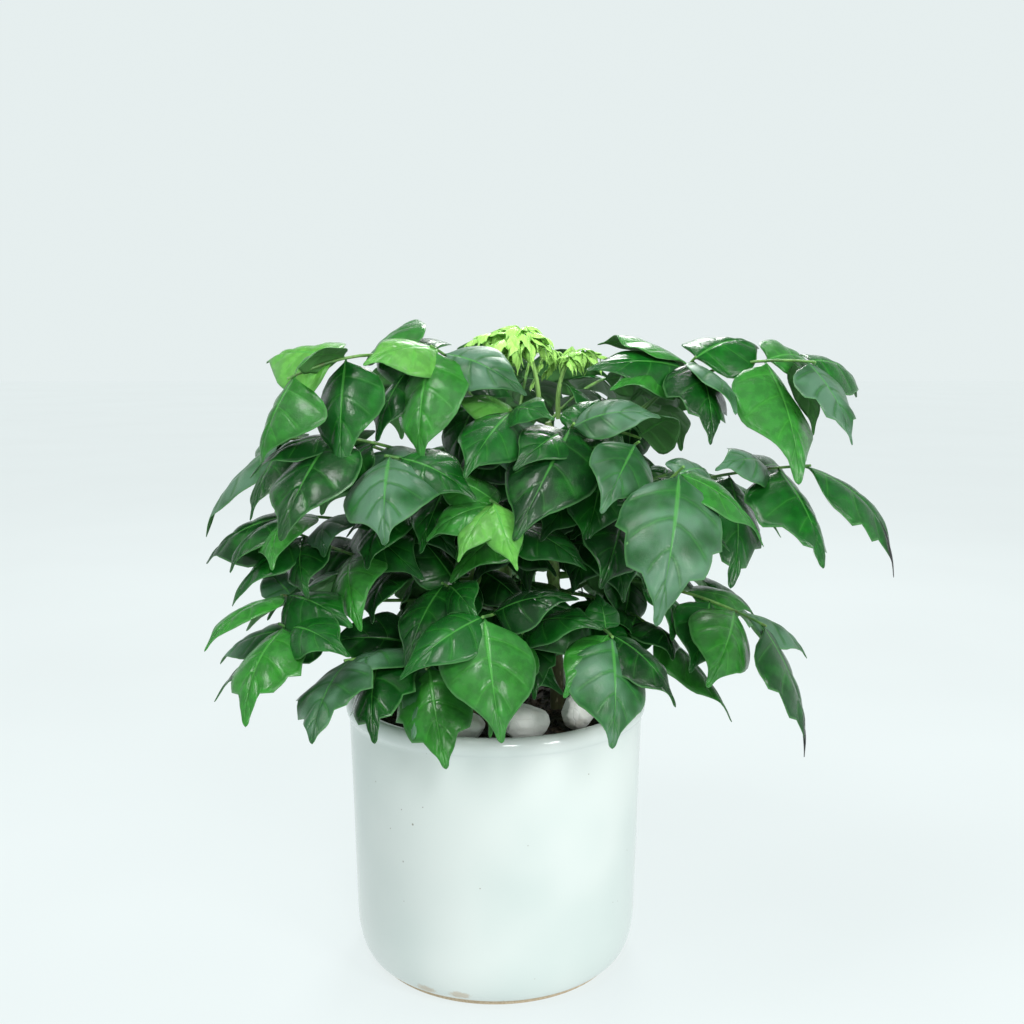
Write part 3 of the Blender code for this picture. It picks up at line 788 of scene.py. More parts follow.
@dataclass(frozen=True)
class Pot:
    """The glazed pot: a straight wall with a round bead at the lip, a soft lower corner and a bare foot."""

    height: float = 125.0
    lip_radius: float = 70.0
    lip_inner_radius: float = 62.5
    lip_rise: float = 4.4
    wall_top_radius: float = 68.4
    wall_low_radius: float = 66.4
    foot_radius: float = 58.7
    foot_height: float = 2.5
    corner_height: float = 24.0
    floor_thickness: float = 8.0
    inner_low_radius: float = 60.5
    inner_corner: Row = (8.0, 10.0)
    inner_top: Row = (61.8, 100.0)
    bead_neck: float = 12.0
    foot_step: float = 0.7
    foot_bevel: float = 0.6
    lip_angles: Row = (180.0, -50.0)
    lip_steps: int = 26
    corner_steps: int = 16
    inner_steps: int = 8
    steps: int = 160
    longest_run: float = 3.0
    waver: float = 0.22
    waver_scale: float = 22.0

    def section(self) -> list[Row]:
        """The section, from the middle of the inside over the lip to the middle of the base."""
        across, up = self.inner_corner
        middle = (self.inner_low_radius - across, self.floor_thickness + up)
        inside = oval_arc(middle, self.inner_corner, -90, 0, self.inner_steps)
        middle = ((self.lip_radius + self.lip_inner_radius) / 2, self.height - self.lip_rise)
        half = (self.lip_radius - self.lip_inner_radius) / 2
        lip = oval_arc(middle, (half, self.lip_rise), *self.lip_angles, self.lip_steps)
        start = self.foot_radius + self.foot_step
        reach = (self.wall_low_radius - start, self.corner_height - self.foot_height)
        corner = oval_arc((start, self.corner_height), reach, 0, -90, self.corner_steps)
        wall = (self.wall_top_radius, self.height - self.bead_neck)
        foot = [(self.foot_radius, self.foot_height - 0.5), (self.foot_radius, self.foot_bevel),
                (self.foot_radius - self.foot_bevel, 0)]
        return [(0, self.floor_thickness), *inside, self.inner_top, *lip, wall, *corner, *foot, (0, 0)]

    def build(self, finish: bpy.types.Material) -> bpy.types.Object:
        """Builds the pot, with the slight waver that hand throwing leaves in its wall.

        Args:
            finish: the glaze.

        Returns:
            The pot.
        """
        points, faces = turned(evenly(self.section(), self.longest_run), self.steps)
        for point in points:
            rise = min(1.0, max(0.0, point.z / MM - self.foot_height) / self.corner_height)
            outward = Vector((point.x, point.y, 0)).normalized()
            point += outward * (noise.noise(point * self.waver_scale) * self.waver * rise * MM)
        return mesh_object("glazed_pot", points, faces, finish)

    def dress(self) -> None:
        """Builds the pot in the place of its plain solid."""
        settle(self.build(GlazeFinish().make()), "glazed_ceramic", "pot")


@dataclass(frozen=True)
class Soil:
    """The soil: a lumpy bed that rises to the middle, with loose crumbs over it."""

    top: float = 113.0
    crown: float = 2.0
    edge_radius: float = 61.4
    foot: float = 96.0
    edge_drop: float = 1.5
    side_step: float = 0.4
    ring_width: float = 1.5
    rings: int = 40
    lumps: float = 1.3
    lump_scales: Row = (160.0, 420.0)
    lump_fade: float = 6.0
    crumb_radius: float = 0.0011
    crumb_margin: float = 2.5
    least_crumb: Row = (0.35, 0.3, 0.3)
    most_crumb: Row = (1.9, 1.2, 1.0)
    whole_turn: Row = (6.3, 6.3, 6.3)
    crumbs_per_square_metre: float = 90000.0
    seed: int = 7
    steps: int = 96

    def build_bed(self, finish: bpy.types.Material) -> bpy.types.Object:
        """Builds the bed, whose lumps fade at its edge."""
        edge = self.edge_radius
        radii = [edge - self.ring_width * ring for ring in range(self.rings, 0, -1)]
        crown = [(radius, self.top + self.crown * (1 - (radius / edge) ** 2)) for radius in radii]
        section = [(0, self.top + self.crown), *crown, (edge, self.top - self.edge_drop),
                   (edge - self.side_step, self.foot), (0, self.foot)]
        points, faces = turned(section, self.steps)
        coarse, fine = self.lump_scales
        for point in points:
            reach = math.hypot(point.x, point.y) / MM
            if reach < edge - 1 and point.z > (self.top - 2) * MM:
                fade = min(1.0, (edge - reach) / self.lump_fade)
                lump = noise.noise(point * coarse) + 0.5 * noise.noise(point * fine)
                point.z += lump * self.lumps * fade * MM
        return mesh_object("soil_bed", points, faces, finish)

    def crumb_tree(self, finish: bpy.types.Material) -> GeometryTree:
        """The node tree that scatters crumbs over a bed.

        Args:
            finish: the crumbs' material.

        Returns:
            The tree.
        """
        tree = GeometryTree("soil_crumbs", {
            "Crumb radius": ("Float", self.crumb_radius),
            "Crumbs per square metre": ("Float", self.crumbs_per_square_metre),
            "Seed": ("Int", self.seed),
            "Finish": ("Material", finish),
        })
        facing = tree.out("GeometryNodeInputNormal", {}, {}).parts()[2]
        reach = tree.length(tree.vector("MULTIPLY", {0: tree.place(), 1: (1.0, 1.0, 0.0)}))
        furthest = (self.edge_radius - self.crumb_margin) * MM
        ground = facing.act("GREATER_THAN", 0.5) * reach.act("LESS_THAN", furthest)
        spread = {"Mesh": tree.given("Geometry"), "Selection": ground,
                  "Density": tree.given("Crumbs per square metre"), "Seed": tree.given("Seed")}
        points = tree.out("GeometryNodeDistributePointsOnFaces", {}, spread)
        ball = {"Radius": tree.given("Crumb radius"), "Subdivisions": 1}
        crumb = tree.out("GeometryNodeMeshIcoSphere", {}, ball)
        turn = tree.random((0.0, 0.0, 0.0), self.whole_turn, self.seed + 1)
        size = tree.random(self.least_crumb, self.most_crumb, self.seed + 2)
        scattered = tree.out("GeometryNodeInstanceOnPoints", {}, {
            "Points": points, "Instance": crumb, "Rotation": turn, "Scale": size})
        loose = tree.out("GeometryNodeRealizeInstances", {}, {"Geometry": scattered})
        tree.finish(tree.dressed(loose, tree.given("Finish")))
        return tree

    def dress(self) -> None:
        """Builds the bed in the place of its plain solid, and the crumbs on it."""
        finish = SoilFinish().make()
        bed = self.build_bed(finish)
        crumbs = self.crumb_tree(finish).apply("soil_crumbs", bed.data.copy())
        settle(bed, "potting_soil", "soil")
        settle(crumbs, "potting_soil")


@dataclass(frozen=True)
class Pebbles:
    """The white pebbles on the soil, each worn to its own blunt shape."""

    rest_height: float = 115.4
    facets: int = 7
    depth: float = 0.16
    wear: float = 0.85
    roughness: float = 0.035
    roughness_scale: float = 3.0
    roughness_shift: float = 5.0
    subdivisions: int = 5
    stones: tuple[Row, ...] = (
        (12, -41, 12.0, 9.5, 8.0, 10),
        (37, -27, 9.5, 8.0, 8.0, 60),
        (-14, -42, 10.0, 8.5, 6.5, 150),
        (47, 4, 9.0, 7.5, 6.0, 95),
        (33, 35, 10.5, 8.0, 6.5, 40),
        (-22, 32, 10.0, 8.5, 6.5, 160),
        (-45, 8, 9.5, 8.0, 6.0, 80),
        (-36, -22, 9.0, 7.5, 5.5, 120),
    )

    def build(self, number: int, stone: Row, finish: bpy.types.Material) -> bpy.types.Object:
        """Builds one pebble: a ball with blunt flats worn on it, pressed to the stone's half sizes.

        Args:
            number: which stone it is.
            stone: its middle (x, y), half sizes (x, y, z) and heading.
            finish: its material.

        Returns:
            The pebble.
        """
        x, y, *halves, heading = stone
        chance = np.random.default_rng(number)
        flats = [Vector(flat).normalized() for flat in chance.normal(size=(self.facets, 3))]
        ball = bmesh.new()
        bmesh.ops.create_icosphere(ball, subdivisions=self.subdivisions, radius=1)
        size = Matrix.Diagonal(millimetres(*halves)).to_4x4()
        middle = millimetres(x, y, self.rest_height + halves[2])
        place = Matrix.Translation(middle) @ Matrix.Rotation(math.radians(heading), 4, "Z") @ size
        shift = Vector((number * self.roughness_shift, 0, 0))
        for vert in ball.verts:
            worn = max(max(0.0, vert.co.dot(flat) - (1 - self.depth)) for flat in flats)
            grain = noise.noise(vert.co * self.roughness_scale + shift) * self.roughness
            vert.co = place @ (vert.co * (1 - worn * self.wear - abs(grain)))
        mesh = bpy.data.meshes.new(f"pebble_{number}_stone")
        ball.to_mesh(mesh)
        ball.free()
        mesh.shade_smooth()
        mesh.materials.append(finish)
        piece = bpy.data.objects.new(mesh.name, mesh)
        bpy.context.scene.collection.objects.link(piece)
        return piece

    def dress(self) -> None:
        """Builds every pebble in the place of its plain solid."""
        finish = PebbleFinish().make()
        for number, stone in enumerate(self.stones, 1):
            settle(self.build(number, stone, finish), "white_pebble", f"pebble_{number}")


# ---------------------------------------------------------------- stems


@dataclass(frozen=True)
class Stem:
    """A woody stem: its place at the foot, at the bend and at the top, and the height of its top."""

    name: str
    foot: Row
    bend: Row
    top: Row
    top_height: float
    foot_height: float = 95.0
    foot_radius: float = 3.6
    top_radius: float = 2.0
    node_swell: float = 0.75
    node_reach: float = 2.2
    end_share: float = 0.6
    steps: int = 110

    def middle(self, height: float) -> Vector:
        """The middle of the stem at a height, in metres."""
        share = (height - self.foot_height) / (self.top_height - self.foot_height)
        flat = along(Vector(self.foot), Vector(self.bend), Vector(self.top), share)
        return millimetres(flat.x, flat.y, height)

    def radius(self, height: float) -> float:
        """The plain radius at a height, in millimetres."""
        share = (height - self.foot_height) / (self.top_height - self.foot_height)
        return self.foot_radius + (self.top_radius - self.foot_radius) * share

    def drawing(self, nodes: list[float]) -> bpy.types.Mesh:
        """The stem's line, with its radius swollen at each leaf joint.

        Args:
            nodes: the heights of the leaf joints.

        Returns:
            The line, as a mesh.
        """
        heights = np.linspace(self.foot_height, self.top_height, self.steps)
        radii = []
        for height in heights:
            swell = sum(math.exp(-(((height - node) / self.node_reach) ** 2)) for node in nodes)
            radii.append(self.radius(height) + self.node_swell * min(1.0, swell))
        radii[-1] *= self.end_share
        return drawn([([self.middle(height) for height in heights], radii)], [])


STEMS = {
    stem.name: stem
    for stem in (
        Stem("stem_left", (-12, 2), (-12, -4), (-4, -12), 240),
        Stem("stem_right", (30, 4), (28, 8), (24, -2), 252),
        Stem("stem_back", (6, 28), (2, 24), (8, 24), 242),
    )
}


@dataclass(frozen=True)
class Stems:
    """The three stems, with corky bark below and a swelling at each leaf joint."""

    sides: int = 20
    bark_depth: float = 0.0007
    ridge_scale: float = 380.0
    ridge_stretch: Row = (1.0, 1.0, 0.3)

    def tree(self, finish: bpy.types.Material) -> GeometryTree:
        """The node tree that gives a drawn line its round, barky body.

        Args:
            finish: the bark.

        Returns:
            The tree.
        """
        tree = GeometryTree("stem", {
            "Sides": ("Int", self.sides),
            "Bark depth": ("Float", self.bark_depth),
            "Finish": ("Material", finish),
        })
        body = tree.tube(tree.given("Geometry"), tree.given("Sides"))
        stretched = tree.vector("MULTIPLY", {0: tree.place(), 1: self.ridge_stretch})
        ridge = tree.noise(self.ridge_scale, 3.0, stretched)
        outward = tree.out("GeometryNodeInputNormal", {}, {})
        shift = outward * ((ridge - 0.5) * tree.given("Bark depth"))
        body = tree.out("GeometryNodeSetPosition", {}, {"Geometry": body, "Offset": shift})
        tree.finish(tree.dressed(body, tree.given("Finish")))
        return tree

    def dress(self) -> None:
        """Builds every stem in the place of its plain solid."""
        tree = self.tree(BarkFinish().make())
        for name, stem in STEMS.items():
            nodes = [row[1] for row in LEAVES.values() if row[0] == name]
            settle(tree.apply(name + "_bark", stem.drawing(nodes)), "stem_bark", name)


# ---------------------------------------------------------------- leaflets and stalks


class Look(Enum):
    """A leaflet's colouring: how bright, how much painted sheen (a painted reflection of the bright
    surround), how young, how black at the tip.
    """

    # DARK is partly the leaves' own deep green and partly painted shade, given to leaflets that sit deep in
    # the plant or behind others.
    DARK = (0.09, 0.04, 0.0, 0.0)
    MIDDLE = (0.36, 0.09, 0.0, 0.0)
    BRIGHT = (0.66, 0.12, 0.03, 0.0)
    # GREY: a leaflet mostly covered by painted sheen, a painted reflection of the bright surround.
    GREY = (0.30, 0.85, 0.0, 0.0)
    YELLOW = (0.90, 0.15, 0.22, 0.0)
    BURNT = (0.26, 0.12, 0.0, 1.0)
    YOUNG = (1.0, 0.0, 1.0, 0.0)


LOOKS = {
    "d": Look.DARK, "m": Look.MIDDLE, "b": Look.BRIGHT, "g": Look.GREY, "y": Look.YELLOW, "k": Look.BURNT}


@dataclass
class Leaflet:
    """One leaflet: its place, its size, how it bends and how it is coloured. Angles are in radians."""

    root: Vector
    along: Vector
    face: Vector
    length: float
    width: float
    arch: float = 0.07
    fold: float = 0.12
    cup: float = 0.15
    curl: float = 0.05
    twist: float = 0.0
    sway: float = 0.0
    ripple: float = 0.0
    teeth: float = 0.0
    shift: float = 0.0
    tone: float = 0.4
    # How much painted sheen, a painted reflection of the bright surround, the blade shows.
    bloom: float = 0.1
    youth: float = 0.0
    burn: float = 0.0

    def coloured(self, look: Look, change: float) -> "Leaflet":
        """This leaflet with a look, moved a little in brightness.

        Args:
            look: the look.
            change: what is added to its brightness.

        Returns:
            The same leaflet.
        """
        tone, self.bloom, self.youth, self.burn = look.value
        self.tone = min(1.0, max(0.0, tone + change))
        return self


Strand = tuple[list[Vector], list[float]]
DIRECTIONS = ("along", "face")
BENDS = ("arch", "fold", "cup", "curl", "twist", "sway", "ripple", "teeth", "shift")
COLOURING = ("tone", "bloom", "youth", "burn")


def drawn(strands: list[Strand], leaflets: list[Leaflet], youth: float = 0.0) -> bpy.types.Mesh:
    """A drawing of stalks and leaflet roots, as lines and loose points that carry their sizes.

    Args:
        strands: each stalk's points, in metres, and radii, in millimetres.
        leaflets: the leaflets.
        youth: how young the stalks are, from 0 to 1.

    Returns:
        The drawing.
    """
    points = [point for line, _ in strands for point in line] + [leaflet.root for leaflet in leaflets]
    edges = []
    first = 0
    for line, _ in strands:
        edges += [(first + step, first + step + 1) for step in range(len(line) - 1)]
        first += len(line)
    mesh = bpy.data.meshes.new("drawing")
    mesh.from_pydata([tuple(point) for point in points], edges, [])
    stalk_radii = [radius * MM for _, radii in strands for radius in radii]
    columns = {"stalk_radius": stalk_radii + [0.0] * len(leaflets)}
    columns["is_leaflet"] = [0.0] * first + [1.0] * len(leaflets)
    for name in (*DIRECTIONS, "length", "width", *BENDS, *COLOURING):
        values = [getattr(leaflet, name) for leaflet in leaflets]
        blank = Vector((0, 0, 0)) if name in DIRECTIONS else 0.0
        columns[name] = [youth if name == "youth" else blank] * first + values
    for name, values in columns.items():
        kind, key = ("FLOAT_VECTOR", "vector") if name in DIRECTIONS else ("FLOAT", "value")
        layer = mesh.attributes.new(name, kind, "POINT")
        layer.data.foreach_set(key, np.array(values, np.float32).ravel())
    return mesh


def vein_phase(across: Term, share: Term) -> Term:
    """Counts a blade's side veins from its root; the veins of one half start a little later.

    Args:
        across: the place across the blade, from -1 to 1.
        share: the place along it, from 0 to 1.

    Returns:
        A value that is a whole number on each side vein.
    """
    return share * float(Blade.side_veins) + across.act("GREATER_THAN", 0.0) * Blade.vein_lag


@dataclass(frozen=True)
class Blade:
    """How a leaflet's blade is shaped from a flat blank; depths are shares of its width."""

    side_veins: int = 5
    vein_lag: float = 0.2
    rows_per_vein: int = 5
    end_rows: Row = (0.02, 0.985)
    columns: Row = (0.0, 0.13, 0.38, 0.66, 0.89, 1.0)
    thickness: float = 0.00045
    stalklet: float = 0.0009
    stalklet_reach: Row = (0.02, 0.10)
    sweep: float = 0.20
    edge_sweep: float = 1.6
    quilt: float = 0.044
    groove: float = 0.036
    groove_reach: float = 0.22
    tooth_depth: float = 0.115
    teeth_per_side: float = 4.4
    teeth_begin: Row = (0.30, 0.48)
    teeth_end: Row = (0.80, 0.90)
    waves: float = 2.3
    wave_slant: float = 1.3
    twist_middle: float = 0.3
    outline: tuple[Row, ...] = (
        (0.0, 0.015), (0.05, 0.018), (0.09, 0.15), (0.16, 0.37), (0.27, 0.48), (0.38, 0.50),
        (0.50, 0.465), (0.61, 0.385), (0.71, 0.275), (0.79, 0.175), (0.86, 0.100), (0.93, 0.055),
        (0.98, 0.034), (1.0, 0.0))

    def blank(self) -> bpy.types.Object:
        """Builds the flat blank: two closed skins, whose corners know their place on the blade.

        Returns:
            The blank, which only the node trees use.
        """
        rows = list(np.linspace(0, 1, self.side_veins * self.rows_per_vein + 1))
        rows = [0.0, self.end_rows[0], *rows[1:-1], self.end_rows[1], 1.0]
        columns = [-column for column in reversed(self.columns[1:])] + list(self.columns)
        corners: list[Row] = []
        grids = []
        for skin in (1.0, -1.0):
            grid = []
            for share in rows:
                pole = share in (0.0, 1.0)
                line = [(0.0, share, skin)] if pole else [(column, share, skin) for column in columns]
                grid.append(range(len(corners), len(corners) + len(line)))
                corners += line
            grids.append(grid)
        mesh = bpy.data.meshes.new("leaf_blank")
        mesh.from_pydata(corners, [], self._faces(grids))
        mesh.shade_smooth()
        layer = mesh.attributes.new("blade", "FLOAT_VECTOR", "POINT")
        layer.data.foreach_set("vector", np.array(corners, np.float32).ravel())
        return bpy.data.objects.new("leaf_blank", mesh)

    @staticmethod
    def _faces(grids: list[list[range]]) -> list[tuple[int, ...]]:
        """The faces of the two skins and of the rim that joins them."""
        faces = []
        for grid, top in zip(grids, (True, False)):
            for low, high in zip(grid, grid[1:]):
                if len(low) == 1:
                    made = [(low[0], high[k + 1], high[k]) for k in range(len(high) - 1)]
                elif len(high) == 1:
                    made = [(low[k], low[k + 1], high[0]) for k in range(len(low) - 1)]
                else:
                    made = [(low[k], low[k + 1], high[k + 1], high[k]) for k in range(len(low) - 1)]
                faces += made if top else [face[::-1] for face in made]
        upper, lower = (
            [row[-1] for row in grid] + [row[0] for row in reversed(grid[1:-1])] for grid in grids)
        for k in range(len(upper)):
            after = (k + 1) % len(upper)
            faces.append((upper[after], upper[k], lower[k], lower[after]))
        return faces

    def spread(self, tree: GeometryTree, blanks: Term) -> Term:
        """Spreads each blank, which lies at its root, to its leaflet's own shape.

        Args:
            tree: the tree that holds the blanks.
            blanks: the blanks.

        Returns:
            The leaflets.
        """
        across, share, skin = tree.named("blade", "FLOAT_VECTOR").parts()
        length, width = tree.named("length"), tree.named("width")
        arch, fold, cup, curl, twist, sway, ripple, teeth, shift = (tree.named(name) for name in BENDS)
        line, face = (tree.named(name, "FLOAT_VECTOR") for name in DIRECTIONS)
        side = tree.vector("CROSS_PRODUCT", {0: line, 1: face})
        edge = across.act("ABSOLUTE")

        swell = (share * math.pi).act("SINE")
        reach = share + swell * self.sweep
        half = tree.out("ShaderNodeFloatCurve", {"points": self.outline}, {"Value": reach})
        tooth = (reach * self.teeth_per_side + shift).act("FRACT") - 0.5
        toothed = reach.step(*self.teeth_begin) * reach.step(*self.teeth_end, 1.0, 0.0) * teeth
        half = half + tooth * toothed * edge ** 4.0 * self.tooth_depth
        station = share + swell * edge ** self.edge_sweep * self.sweep
        place = across * half * width + sway * length * station ** 2.0

        bow = station * (1.0 - station) * 4.0 * arch * length - curl * length * station ** 3.0
        droop = edge * half * width * fold + cup * width * (edge * half * 2.0) ** 2.0 * 0.5
        between = (vein_phase(across, share) * math.pi).act("SINE").act("ABSOLUTE")
        puff = (between - 0.5) * edge * (1.0 - edge ** 4.0) * swell * width * self.quilt
        rib = edge.step(0.0, self.groove_reach, 1.0, 0.0) * swell * width * self.groove
        turns = (reach * self.waves + shift) * (2.0 * math.pi)
        wave = (turns + across * self.wave_slant).act("SINE") * edge ** 2.0
        lift = bow - droop + puff - rib + wave * ripple * width * swell
        lift = lift + across * half * width * twist * (station - self.twist_middle)
        stalklet = share.step(*self.stalklet_reach, self.stalklet, self.thickness)
        lift = lift + skin * stalklet * (0.5 - edge ** 2.0 * 0.28)

        shape = line * (station * length) + side * place + face * lift
        return tree.out("GeometryNodeSetPosition", {}, {"Geometry": blanks, "Offset": shape})


@dataclass(frozen=True)
class Foliage:
    """Makes compound leaves from drawings: round stalks with a shaped blade at each leaflet's root."""

    blade: Blade = Blade()
    stalk_sides: int = 10

    def tree(self) -> GeometryTree:
        """The node tree that makes a compound leaf.

        Returns:
            The tree.
        """
        blank = self.blade.blank()
        bpy.context.scene.collection.objects.link(blank)
        tree = GeometryTree("compound_leaf", {
            "Leaf blank": ("Object", blank),
            "Stalk sides": ("Int", self.stalk_sides),
            "Leaf finish": ("Material", LeafFinish().make()),
            "Stalk finish": ("Material", StalkFinish().make()),
        })
        drawing = tree.given("Geometry")
        blanks = tree.out("GeometryNodeObjectInfo", {}, {"Object": tree.given("Leaf blank")}, "Geometry")
        blanks = tree.out("GeometryNodeInstanceOnPoints", {}, {
            "Points": drawing, "Selection": tree.named("is_leaflet"), "Instance": blanks,
            "Scale": (0.0, 0.0, 0.0)})
        blanks = tree.out("GeometryNodeRealizeInstances", {}, {"Geometry": blanks})
        leaflets = tree.dressed(self.blade.spread(tree, blanks), tree.given("Leaf finish"))
        stalks = tree.dressed(tree.tube(drawing, tree.given("Stalk sides")), tree.given("Stalk finish"))
        both = tree.node("GeometryNodeJoinGeometry", {}, {"Geometry": leaflets})
        tree.tree.links.new(stalks.socket, both.inputs[0])
        tree.finish(Term(tree, both.outputs[0]))
        return tree


